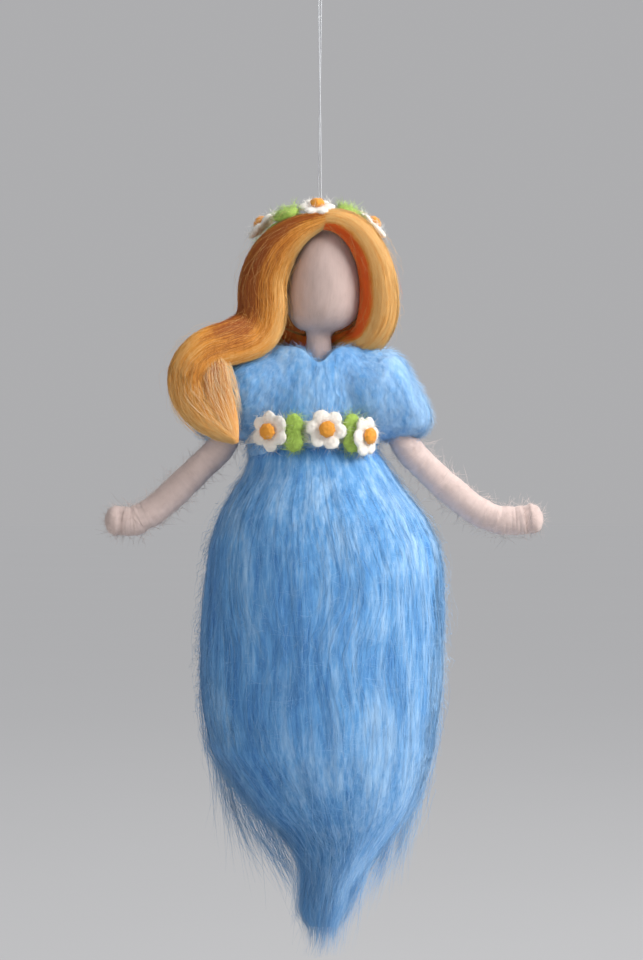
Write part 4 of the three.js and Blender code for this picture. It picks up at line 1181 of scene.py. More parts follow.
class FELTDOLL_OT_dress(bpy.types.Operator):
    """Makes the bodice and the puff sleeves, felted into each other over the shoulders"""

    bl_idname = "felt_doll.dress"
    bl_label = "Bodice and sleeves"

    def execute(self, context):
        random = np.random.default_rng(21)
        blue = blues()
        self.cloth = combed_wool("dress_felt", blue, around=40, along=5, sheen=0.3, bump=0.3,
                                 mottled=1.0)
        self.loose = fibre_wool("dress_fibres", blue, sheen=0.2, mottled=0.9)
        parts = [from_cad("dress_form", "bodice", voxel=0.5, rounds=2)]
        for side in SIDE:
            parts.append(from_cad(f"{side}_sleeve_form", f"{side}_sleeve", voxel=0.5, rounds=2))
            parts.append(wrapped(f"{side}_yoke_form", yoke_sweep(side), around=32, rings=24))
        form = joined("dress_form", parts)
        fused(form, voxel=0.5, rounds=40)
        painted_light_dress_tone(form)
        roughen(form, size=2.4, strength=0.6)
        self.open_neck(form)
        combed_map(form, Sweep([[BODICE_X, -1, SHOULDERS_Z + 2, 1, 1], [BODICE_X, -1, -146, 1, 1]]))
        self.seams = {side: SHOULDER[side][0] - SIDE[side] * SEAM_INSIDE for side in SIDE}
        for side in SIDE:
            self.part(form, side, random)
        self.part(form, None, random)
        under = wrapped("bodice_shoulders", shoulders_sweep(), around=48, rings=40)
        points = places(under)
        aside = np.abs(points[:, 0] - NECK_X)
        # The wool stays under the neckline's point
        points[:, 2] = np.minimum(points[:, 2], SHOULDERS_Z - 8 + 7 * smooth(3.5, 7, aside))
        set_places(under, points)
        finished(under, "doll", self.cloth, "blue_wool")
        fuzzed("bodice_shoulders_fuzz", under, 500, (1.2, 3.6), 0.024, random, "doll", self.loose,
               "blue_wool", (0.6, 0.12), steps=4, out=0.5, keep=self.under_sleeves, curl=0.4)
        fuzzed("collar_fuzz", form, 550, (1.2, 3.2), 0.022, random, "doll", self.loose, "blue_wool",
               (0.7, 0.12), steps=4, out=0.6, keep=self.at_collar, curl=0.4)
        bpy.data.objects.remove(form)
        return {"FINISHED"}

    def under_sleeves(self, points):
        return (self.in_sleeve(points, "left") | self.in_sleeve(points, "right")) * 1.0

    def at_collar(self, points):
        return ((points[:, 2] > SHOULDERS_Z - 6) & (np.abs(points[:, 0] - NECK_X) < 8)) * 1.0

    def on_bodice(self, points):
        """Where the bodice's own fibres start: off both sleeves, between belt and neck."""
        off_left = ~self.in_sleeve(points - FIBRE_EDGE, "left")
        off_right = ~self.in_sleeve(points - FIBRE_EDGE, "right")
        high = points[:, 2]
        return (off_left & off_right & (high > SKIRT_TOP_Z + 0.6) & (high < SHOULDERS_Z + 0.5)) * 1.0

    def open_neck(self, form):
        """Lowers the wool to the neckline and its point in front, and lets the sleeves droop."""
        points = places(form)
        aside = np.abs(points[:, 0] - NECK_X)
        front = smooth(2, -3, points[:, 1])
        top = SHOULDERS_Z - 1.3 - 4.2 * front * np.exp(-(aside / 3.2) ** 2)
        points[:, 2] = np.minimum(points[:, 2], top)
        for side, way in SIDE.items():
            reach = way * (points[:, 0] - SHOULDER[side][0])
            high = smooth(-5, 9, points[:, 2] - SHOULDER[side][2])
            points[:, 0] -= way * SLEEVE_SLOPE * high * smooth(0, 11, reach)
            points[:, 2] -= SLEEVE_DROOP * smooth(0, 12, reach)
            # Wool fills the groove where the sleeve meets the shoulder
            aside = points[:, 1] + 1
            rounded = 0.055 * aside ** 2 + 0.0006 * aside ** 4
            filled = SHOULDERS_Z - 1.4 - rounded - 0.9 * smooth(-4, -1.5, reach)
            on_top = (points[:, 2] > filled - 3.2) & (np.abs(aside) < 8)
            groove = (reach > -7.5) & (reach < -1.5) & on_top
            points[:, 2] = np.where(groove, np.maximum(points[:, 2], filled), points[:, 2])
        set_places(form, points)

    def in_sleeve(self, points, side, overlap=0.0):
        """Where a sleeve's own wool is: beyond its seam and above its armpit."""
        out = SIDE[side] * (points[:, 0] - self.seams[side])
        return (out > -overlap) & (points[:, 2] > ARMPIT_Z - ARMPIT_FALL * out)

    def take_out(self, piece, side):
        """Cuts a sleeve's room out of the bodice."""
        bpy.ops.object.select_all(action="DESELECT")
        bpy.ops.mesh.primitive_cube_add(size=2)
        room = bpy.context.object
        corners = places(room) * MM
        out = np.where(corners[:, 0] > 0, SLEEVE_ROOM, 0)
        high = np.where(corners[:, 2] > 0, CROWN_Z, ARMPIT_Z - ARMPIT_FALL * out)
        x = self.seams[side] + SIDE[side] * out
        set_places(room, np.stack([x, corners[:, 1] * SLEEVE_ROOM, high], -1))
        outwards(room)
        apply(piece, "BOOLEAN", operation="DIFFERENCE", object=room, solver="EXACT")
        bpy.data.objects.remove(room)

    def part(self, form, side, random):
        """One of the three parts that the dress has over the shoulder joints."""
        name = f"{side}_puff_sleeve" if side else "felted_bodice"
        piece = own_copy(form, name)
        if side:
            seam, way = self.seams[side], SIDE[side]
            kept_side(piece, (seam - way * SLEEVE_OVERLAP, 0, -125), (way, 0, 0))
            kept_side(piece, (seam, 0, ARMPIT_Z), (way * ARMPIT_FALL, 0, 1))
            apply(piece, "DISPLACE", strength=SLEEVE_LIFT * MM, mid_level=0.0)
            pivot = SHOULDER[side]
            body = ("doll", f"{side}_arm", (seam - way * BEND_MARGIN, pivot[1], pivot[2]),
                    (pivot[0] + way * BEND_MARGIN, pivot[1], pivot[2]))
            # Painted light: the sleeves' fibres are paler than the bodice's
            tone = 0.72

            def here(points):
                return self.in_sleeve(points - FIBRE_EDGE, side, SLEEVE_OVERLAP) * 1.0

            finished(piece, body, self.cloth, "blue_wool", f"{side}_sleeve")
        else:
            body = "doll"
            for edge in SIDE:
                self.take_out(piece, edge)
            painted_light_dress_tone(piece)
            select_only(piece)
            bpy.ops.object.shade_smooth_by_angle(angle=math.radians(50))
            here = self.on_bodice
            # Darker than the sleeves' fibres, whose paleness is painted light
            tone = 0.63
            finished(piece, body, self.cloth, "blue_wool", "bodice")
        for layer, count, steps, length, lift, stray, thick in (
                ("fibres", 1200, 6, (6, 16), (0.0, 0.7), 0.35, 0.8),
                ("fuzz", 2600, 4, (2.5, 6), (0.2, 2.2), 0.9, 0.61)):
            lines = combed(form, some(count), length, self.from_neck, random, steps, lift, stray, keep=here,
                           wave=0.25)
            fibres_on(f"{name}_{layer}", lines, thickness() * thick, random, body, self.loose, "blue_wool",
                      (tone, 0.08))

    def from_neck(self, place, out):
        """Fibres fan out from the neck, over the shoulders and down to belt and cuffs."""
        away = unit(place - np.array([NECK_X, -1.2, SHOULDERS_Z + 2]))
        return away * [0.8, 0.4, 0.5] + DOWN * 0.7


# Skirt

def skirt_rows(dense=False, inset=0.0):
    """The skirt's rows at even steps down."""
    shares = SKIRT_OUTER.copy()
    if dense:
        for row in shares:
            row[1:3] = SKIRT_DENSE.get(row[0], row[1:3])
    rows = []
    for down in np.linspace(shares[0, 0], DENSE_END if dense else 1, SKIRT_RINGS):
        left, right, deep = (np.interp(down, shares[:, 0], shares[:, k]) for k in (1, 2, 3))
        half = (left + right) / 2 * SKIRT_HALF[0]
        thin = inset * min(1, half / INSET_FULL_AT)
        rows.append([(right - left) / 2 * SKIRT_HALF[0], 0, SKIRT_TOP_Z - down * SKIRT_LENGTH,
                     half - thin, deep * SKIRT_HALF[1] - thin])
    return rows


class SkirtWool:
    """The skirt's flow: broad folds, locks within them, and fine ridges of roving."""

    def __init__(self):
        self.folds, self.locks, self.ridges = Grain(31, 13, 5), Grain(32, 52, 8), Grain(33, 150, 14)
        self.bend, self.sway = Grain(34, 7, 6), Grain(35, 18, 10)

    def flow(self, share, angle):
        wander = 0.05 * self.sway(angle, share)
        return angle + SKIRT_TWIST * share + 0.1 * self.bend(angle, share) + wander

    def relief(self, share, angle):
        flow = self.flow(share, angle)
        grown = smooth(0.02, 0.16, share) * smooth(1.0, 0.8, share)
        broad = 0.6 * self.folds(flow, share) + 0.3 * self.locks(flow, share)
        return grown * (broad + 0.05 * self.ridges(flow, share)) - 0.4

    # The skirt's tone holds painted shade: darker in the valleys between folds and locks, and darker on the
    # left, away from the key lamp, partly the wool's own deeper blue there
    def tone(self, share, angle):
        flow = self.flow(share, angle)
        # Painted shadow under the belt, at the top of the skirt
        painted_belt_shadow = 0.22 * smooth(0.035, 0.005, share)
        broad = 0.1 * self.folds(flow, share) + 0.08 * self.locks(flow, share)
        return 0.5 + broad - 0.09 * np.cos(angle) - painted_belt_shadow

    def sweep(self, dense, inset=0.0):
        return Sweep(skirt_rows(dense, inset), self.relief, level=True)


class FELTDOLL_OT_skirt(bpy.types.Operator):
    """Makes the long skirt of loose roving, layer over layer, and the roving inside it"""

    bl_idname = "felt_doll.skirt"
    bl_label = "Skirt"

    def execute(self, context):
        random = np.random.default_rng(41)
        blue = blues()
        self.sway = ("doll", "skirt", (BODICE_X, 0, SKIRT_TOP_Z + 1.0), (BODICE_X, 0, SKIRT_TOP_Z - 4.0))
        self.loose = fibre_wool("skirt_fibres", blue, sheen=0.15, mottled=1.3, flat=0.4)
        self.wool = SkirtWool()
        dense = self.wool.sweep(True, 0.6)
        body = wrapped("skirt_roving", dense, around=144, rings=210, tone=self.wool.tone)
        wool = combed_wool("skirt_wool", blue, around=100, along=5, sheen=0.2, bump=0.3, mottled=1.3,
                           flat=0.4)
        finished(body, self.sway, wool, "blue_wool", "skirt")
        fine = thickness()
        for name, count, steps, thick, *form in SKIRT_LAYERS:
            self.layer(f"skirt_layer_{name}", dense, count, steps, random, fine * thick, *form)
        for number in (1, 2, 3):
            self.haze(f"skirt_haze_{number}", random)
        self.wisps(random, fine)
        self.clumps(random, fine)
        self.stray(random)
        inner = from_cad("inner_roving_bundle", "inner_roving", voxel=1.0, rounds=4)
        combed_map(inner, Sweep([[0, 0, -142, 1, 1], [0, 0, -212, 1, 1]]))
        roughen(inner, size=3, strength=0.8)
        pale = combed_wool("inner_wool", tones(INNER_ROVING))
        finished(inner, "skirt", pale, "pale_roving", "inner_roving")
        return {"FINISHED"}

    def laid(self, name, sweep, share, angle, off, thick, random, shade, wander=0.0, waves=(1.0, 2.0)):
        """Fibres at shares, angles and heights over the skirt; what runs past its end hangs on down."""
        inside = np.minimum(share, 1)
        paths = sweep.at(inside, angle, off)
        paths[..., 2] -= np.maximum(share - 1, 0) * SKIRT_LENGTH * HANGING_SHARE
        paths += wavy(random, *share.shape, wander, waves)
        paths[..., 2] = np.maximum(paths[..., 2], cad_low[2] / MM - FIBRES_BELOW)
        lines = (paths, sweep.out(inside, angle))
        fibres_on(name, lines, thick, random, self.sway, self.loose, "blue_wool", shade)

    def layer(self, name, sweep, count, steps, random, thick, starts, lengths, lift, contrast):
        """Long fibres that lie on the skirt and wander round it a little."""
        count = some(count)
        s = np.linspace(0, 1, steps)[None]
        first = random.uniform(*starts, (count, 1))
        share = first + random.uniform(*lengths, (count, 1)) * s
        angle = random.uniform(0, 2 * math.pi, (count, 1))
        bend = self.wool.bend
        angle = angle - 0.1 * (bend(angle, share) - bend(angle, first)) - SKIRT_TWIST * (share - first)
        angle = angle + random.normal(0, 0.08, (count, 1)) * s
        off = lift * random.uniform(0.05, 1, (count, 1)) * (0.3 + 0.9 * s * s)
        tone = self.wool.tone(np.minimum(share, 1), angle) + 0.03
        self.laid(name, sweep, share, angle, off, thick, random, (tone, contrast), 0.22)

    def haze(self, name, random):
        """Short curled fibres that stand off the wool all over and soften it."""
        sweep = self.wool.sweep(True, 0.2)
        count = some(3900)
        s, share, angle = strewn(random, count, 3, starts=(-0.01, 0.98), lengths=(-0.015, 0.045), turn=0.15)
        off = arched(random, s, count, high=2.2, arch=0.65, least=0.1) + 0.1
        # Painted sheen: the haze is paler than the wool under it
        shade = (self.wool.tone(np.clip(share, 0, 1), angle) + 0.12, 0.1)
        share = np.maximum(share, 0)
        self.laid(name, sweep, share, angle, off, 0.025, random, shade, wander=0.5, waves=(0.8, 1.6))

    def wisps(self, random, fine):
        """Fibres that part from the skirt low down and run out into its tail."""
        sweep = Sweep(skirt_rows(True), level=True)
        count = some(1100)
        s, share, angle = strewn(random, count, 7, starts=(0.45, 0.88), lengths=(0.1, 0.3), turn=0.2)
        off = random.uniform(-1.0, 0.8, (count, 1)) + random.uniform(-0.5, 1.6, (count, 1)) * s
        self.laid("skirt_wisps", sweep, share, angle, off, fine * 0.65, random, (0.52, 0.1),
                  wander=0.8, waves=(1.0, 2.2))

    def clumps(self, random, fine):
        """Thin locks that fray from the skirt's end; those on the left hang before it like a veil."""
        steps = 8
        s = np.linspace(0, 1, steps)[None, :, None]
        every = []
        for root, bend, tip, number in CLUMPS:
            count = some(number * CLUMP_FULLNESS)
            scatter = random.normal(0, 1, (3, count, 1, 3))
            a = np.array(root) + scatter[0] * [1.8, 2.4, 7.0]
            b = np.array(bend) + (scatter[0] * 0.6 + scatter[1] * 0.5) * [2.0, 2.2, 3.0]
            c = np.array(tip) + scatter[2] * [1.9, 1.6, 3.6]
            every.append((1 - s) ** 2 * a + 2 * s * (1 - s) * b + s * s * c)
        paths = np.concatenate(every)
        paths += wavy(random, *paths.shape[:2], size=0.5, waves=(1.0, 2.3))
        paths[..., 2] = np.maximum(paths[..., 2], cad_low[2] / MM - CLUMPS_BELOW)
        ways = unit((paths - [2.0, 4.0, 0.0]) * [1, 1, 0])
        # A little paler than the middle tone: painted light for the veil on the left, which the lamps light
        # less
        fibres_on("skirt_tail_clumps", (paths, ways), fine * 0.68, random, self.sway, self.loose,
                  "blue_wool", (0.58, 0.12))

    def stray(self, random):
        """Single fibres that stand well off the skirt."""
        sweep = Sweep(skirt_rows(False, 0.3), level=True)
        count = some(850)
        s, share, angle = strewn(random, count, 6, starts=(0.03, 0.85), lengths=(0.03, 0.16), turn=0.12)
        off = arched(random, s, count, high=2.8, power=1.5)
        # Painted sheen: these loose fibres are paler than the wool
        self.laid("skirt_stray_fibres", sweep, share, angle, off, 0.016, random, (0.7, 0.1), wander=0.7)


# Hair

def from_hair(rows):
    """Rows given from the middle of the hair, in their real places."""
    return [[*(HAIR + np.array(row[:3])), row[3], row[4]] for row in rows]


def lock_sweep(rows, seed, around, depth):
    """A combed lock: ridges run its whole length and turn slowly round it."""
    broad, fine, slow = Grain(seed, 9, 5), Grain(seed + 1, around, 12), Grain(seed + 2, 5, 6)

    def relief(share, angle):
        flow = angle + 0.3 * slow(angle, share)
        ends = smooth(0.0, 0.06, share) * smooth(1.0, 0.92, share)
        return ends * depth * (0.7 * broad(flow, share) + 0.3 * fine(flow, share))

    return Sweep(from_hair(rows), relief)


def clear_of(points, centre, half):
    """Points pushed out of a ball-like form."""
    away = (points - centre) / half
    reach = np.linalg.norm(away, axis=-1, keepdims=True)
    return np.where(reach < 1, centre + away / np.maximum(reach, 1e-6) * half, points)


class FELTDOLL_OT_hair(bpy.types.Operator):
    """Makes the hair on the head and the two combed locks"""

    bl_idname = "felt_doll.hair"
    bl_label = "Hair"

    def execute(self, context):
        random = np.random.default_rng(61)
        middle = tuple(colours().hair)
        hair = (HAIR_DARK, middle, HAIR_LIGHT)
        # Hair shades whose dark end is the painted glow of hair in shade
        painted_glow = (tuple(colours().hair_shade_glow), middle, HAIR_LIGHT)
        loose = fibre_wool("hair_fibres", hair, sheen=0.05, roughness=0.55)
        red_loose = fibre_wool("hair_fibres_painted_glow", painted_glow, sheen=0.05, roughness=0.55)
        thick = thickness()
        cap = from_cad("hair_on_head", "hair_cap", voxel=0.6, rounds=4)
        combed_map(cap, Sweep([[HAIR[0], HAIR[1], CROWN_Z + 1, 1, 1], [HAIR[0], HAIR[1], -113, 1, 1]]))
        roughen(cap, size=1.6, strength=0.35)
        wool = combed_wool("hair_wool_cap", hair, around=60, along=3, sheen=0.05, bump=0.7)
        finished(cap, "doll", wool, "hair_wool", "hair_cap")

        def down_and_left(place, out):
            behind = smooth(0, 8, place[:, 1:2] - HAIR[1])
            return DOWN + np.array([-0.45, 0, 0]) * behind

        points = places(cap)
        front = -7 + 5.5 * smooth(-86, -96, points[:, 2])
        points[:, 1] = np.maximum(points[:, 1], front)
        set_places(cap, points)
        # Painted shade: the cap's flat front, hidden behind the face, is darkened
        shaded(cap, 0.5 - 0.4 * smooth(2.5, 0.6, points[:, 1] - front))

        def outside(points):
            return (np.linalg.norm((points - HAIR) / HAIR_HALF, axis=-1) > 0.93) * 1.0

        paths = combed(cap, some(1300), (6, 16), down_and_left, random, steps=6, lift=(0.0, 0.4), stray=0.2,
                       keep=outside)
        fibres_on("hair_on_head_fibres", paths, thick, random, "doll", loose, "hair_wool", (0.45, 0.15))

        # Painted glow and shade: the nape's front, towards the face, takes the red of hair in shade, and
        # its back the hair's middle tone
        def nape_tone(share, angle):
            return 0.26 + 0.26 * smooth(-0.1, 0.6, np.sin(angle))

        nape = wrapped("nape_hair", Sweep(from_hair(NAPE), level=True), around=64, rings=60, tone=nape_tone)
        wool = combed_wool("hair_wool_nape", painted_glow, around=60, along=2, sheen=0.05, bump=0.6)
        finished(nape, "doll", wool, "hair_wool")
        paths = combed(nape, some(450), (5, 12), down_and_left, random, steps=6, lift=(0.0, 0.35),
                       stray=0.15)
        # The fibres at the nape's front take the same painted glow
        own = 0.28 + 0.24 * smooth(4, 8, paths[0][:, :1, 1])
        fibres_on("nape_hair_fibres", paths, thick, random, "doll", red_loose, "hair_wool", (own, 0.1))
        grain = Grain(69, 30, 6)

        # Painted shade and glow: the lock's inner side, towards the face, is darkest and so takes the red
        # of hair in shade; the lock is also darker where it runs behind the neck
        def right_tone(share, angle):
            behind = smooth(0.6, 0.74, share)
            inside = (1 - behind) * smooth(0.1, 0.65, np.cos(angle - 0.1))
            return 0.72 - 0.2 * behind - 0.84 * inside + 0.1 * grain(angle, share)

        # Painted light: the lock's inner side and the parting are paler, a painted highlight, and its outer
        # side is darker, a painted shade; in the curl this turns round, with the inner side darker. The
        # lock is also paler towards its tips
        def left_tone(share, angle):
            inner = -np.cos(angle + 0.5)
            curl = smooth(0.5, 0.62, share)
            tone = 0.46 + 0.36 * inner * (1 - curl) - 0.14 * inner * curl
            ends = 0.22 * smooth(0.1, 0.0, share) + 0.24 * smooth(0.7, 1, share)
            return tone + ends + 0.12 * grain(angle, share)

        self.lock("right", RIGHT_LOCK, 71, 36, (2500,), right_tone, random, painted_glow, red_loose, thick)
        self.lock("left", LEFT_LOCK, 81, 46, (2400, 2400), left_tone, random, hair, loose, thick)
        self.curl(random, loose, thick)
        return {"FINISHED"}

    def stray(self, side, sweep, random, loose):
        """A few long hairs that stand off a lock."""
        count, steps = some(420), 7
        s, share, angle = strewn(random, count, steps, starts=(0.02, 0.85), lengths=(0.05, 0.15), turn=0.3)
        share = np.minimum(share, 1)
        off = arched(random, s, count, high=2.4) + 0.1
        paths = sweep.at(share, angle, off) + wavy(random, count, steps, size=0.7, waves=(1.0, 2.0))
        fibres_on(f"{side}_lock_stray_hairs", (paths, sweep.out(share, angle)), 0.018, random,
                  "doll", loose, "hair_wool", (0.75, 0.1))

    def curl(self, random, loose, thick):
        """Pale loose strands that hang inside the curl of the left lock, over darker, redder wool in
        painted shade.
        """
        sweep = Sweep(from_hair(CURL))
        inside = Sweep([[*row[:3], row[3] * 0.85, row[4] * 0.7] for row in from_hair(CURL)])

        # Painted shade: darkest where the curl starts, lighter along it
        def curl_shade_tone(share, angle):
            return 0.12 + 0.5 * share

        depth = wrapped("left_lock_curl", inside, around=40, rings=60, tone=curl_shade_tone)
        wool = combed_wool("hair_wool_curl", CURL_IN_SHADE, around=40, along=3, sheen=0.05, bump=0.8)
        finished(depth, "doll", wool, "hair_wool")
        count, steps = some(420), 8
        s, share, angle = strewn(random, count, steps, starts=(0, 0.35), lengths=(0.4, 0.65), turn=0.5)
        full = random.uniform(0.75, 1.12, (count, 1))
        paths = sweep.at(share, angle, 0.0, full) + wavy(random, count, steps, size=0.6, waves=(0.7, 1.4))
        ways = unit(sweep.out(share, angle) + [0.3, -1.6, 0.5])
        shades = (tuple(colours().hair), *CURL_PALE)
        pale = fibre_wool("pale_hair_fibres", shades, sheen=0.15, roughness=0.5)
        fibres_on("left_lock_loose_strands", (paths, ways), thick * 0.8, random, "doll", pale, "hair_wool",
                  (0.42 + 0.3 * share, 0.2))
        tip = Sweep(from_hair(LEFT_LOCK))
        s, share, angle = strewn(random, count, steps, starts=(0.62, 0.85), lengths=(0.1, 0.22), turn=0.4)
        off = random.uniform(-0.8, 1.1, (count, 1)) * (0.3 + s)
        inside = np.minimum(share, 1)
        beyond = np.maximum(share - 1, 0)[..., None] * [14.0, 0, -12.0]
        paths = tip.at(inside, angle, off) + wavy(random, count, steps, size=0.5, waves=(0.7, 1.4)) + beyond
        ways = unit(tip.out(inside, angle) + [0.3, -1.2, 0.4])
        fibres_on("left_lock_tip_strands", (paths, ways), thick * 0.8, random, "doll", pale, "hair_wool",
                  (0.3 + 0.25 * share, 0.2))

    def lock(self, side, rows, seed, around, counts, tone, random, hair, loose, thick):
        sweep = lock_sweep(rows, seed, around, 0.5)
        material = combed_wool(f"hair_wool_{side}", hair, around=70, along=3, sheen=0.05, bump=0.8)
        lock = wrapped(f"{side}_lock", sweep, around=80, rings=200, tone=tone)
        sleeve = (SHOULDER["left"], SLEEVE_HALF + 0.7)
        set_places(lock, clear_of(places(lock), *sleeve))
        finished(lock, "doll", material, "hair_wool", f"hair_lock_{side}")
        self.stray(side, sweep, random, loose)
        steps = 6
        for layer, count in enumerate(counts, 1):
            count = some(count)
            s, share, angle = strewn(
                random, count, steps, starts=(-0.05, 0.8), lengths=(0.14, 0.34), turn=0.2)
            share = np.clip(share, 0, 1)
            low = random.uniform(0.0, 0.25, (count, 1))
            off = low + 0.5 * random.uniform(0, 1, (count, 1)) ** 3 * s * s
            paths = sweep.at(share, angle, off) + wavy(random, count, steps, size=0.12, waves=(1.5, 3.0))
            lines = (clear_of(paths, *sleeve), sweep.out(share, angle))
            shade = (tone(share, angle) + 0.04, 0.1)
            fibres_on(f"{side}_lock_fibres_{layer}", lines, thick * 0.86, random, "doll", loose,
                      "hair_wool", shade)


# Arms

def arm_points(side):
    pivot, way = SHOULDER[side], SIDE[side]
    return [np.array([pivot[0] + way * out, pivot[1], pivot[2] + up]) for out, up in ARM_LINE[side]]


class FELTDOLL_OT_arms(bpy.types.Operator):
    """Makes the arms of wound wool and their folded ends"""

    bl_idname = "felt_doll.arms"
    bl_label = "Arms"

    def execute(self, context):
        random = np.random.default_rng(91)
        skin = tones(colours().skin, low=0.82, high=1.08)
        material = wound_wool("arm_wool", skin)
        loose = fibre_wool("arm_fibres", skin)
        self.knob = needled_felt("hand_wool", skin, scale=700, bump=0.35, sheen=0.3)
        for side in SIDE:
            self.arm(side, random, material, loose)
        lengths = [f"{side}_{length}_wire" for side in SIDE for length in ("upper", "fore")]
        as_packed(("chest_wire", *lengths), twisted_steel())
        return {"FINISHED"}

    def arm(self, side, random, material, loose):
        points = arm_points(side)
        tip, before = points[-1], points[-2]
        out = unit(tip - before)
        wrist = tip - out * HAND_LENGTH
        line = [points[0] * 0.4 + points[1] * 0.6, *points[1:-2], wrist - out * 2.5, wrist + out * 0.4]
        lumps, turns = Grain(95, 6, 16), Grain(96, 3, 60)
        sweep = Sweep(
            [[*p, ARM_RADIUS, ARM_RADIUS] for p in line],
            lambda share, angle: 0.14 * lumps(angle, share) + 0.1 * turns(angle, share))
        elbow = points[ELBOW_AT]
        toward = unit(points[ELBOW_AT + 1] - points[ELBOW_AT - 1])
        half = toward * ELBOW_BEND
        bend = (f"{side}_arm", f"{side}_forearm", elbow - half, elbow + half)
        arm = wrapped(f"{side}_wound_arm", sweep, around=40, rings=150)
        combed_map(arm, sweep)
        finished(arm, bend, material, "skin_wool", f"{side}_upper_wrap", f"{side}_fore_wrap")
        fuzzed(f"{side}_arm_fuzz", arm, 1050, (1.2, 5.2), 0.024, random, bend, loose, "skin_wool",
               (0.65, 0.15), out=0.5)
        self.hand(side, wrist, out, random, loose)

    def hand(self, side, wrist, out, random, loose):
        """The arm's end, turned back on itself and wound over: a rounded, lumpy knob."""
        rows = []
        for share, full in HAND_RINGS:
            centre = wrist + out * (share * HAND_LENGTH)
            rows.append([*centre, HAND_RADIUS * full, HAND_RADIUS * full])
        lumps = Grain(98, 6, 5)
        sweep = Sweep(rows, lambda share, angle: 0.2 * lumps(angle, share))
        hand = wrapped(f"{side}_folded_hand", sweep, around=36, rings=30)
        finished(hand, f"{side}_forearm", self.knob, "skin_wool", f"{side}_hand")
        fuzzed(f"{side}_hand_fuzz", hand, 420, (0.8, 2.8), 0.02, random, f"{side}_forearm", loose,
               "skin_wool", (0.65, 0.15), steps=6, out=0.45, curl=0.6)


# Flowers, belt and wreath

def flower_place(name):
    """Where a flower sits: its middle, the way it faces, and a direction to one of its petals."""
    petals = places(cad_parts[f"{name}_petals"])
    middle, centre = petals.mean(0), places(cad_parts[f"{name}_centre"]).mean(0)
    facing = unit(centre - middle)
    height = (petals - middle) @ facing
    base = middle + facing * height.min()
    reach = petals - middle
    flat = reach - np.outer(reach @ facing, facing)
    far = flat[np.linalg.norm(flat, axis=-1).argmax()]
    return base, facing, unit(far), np.linalg.norm(far)


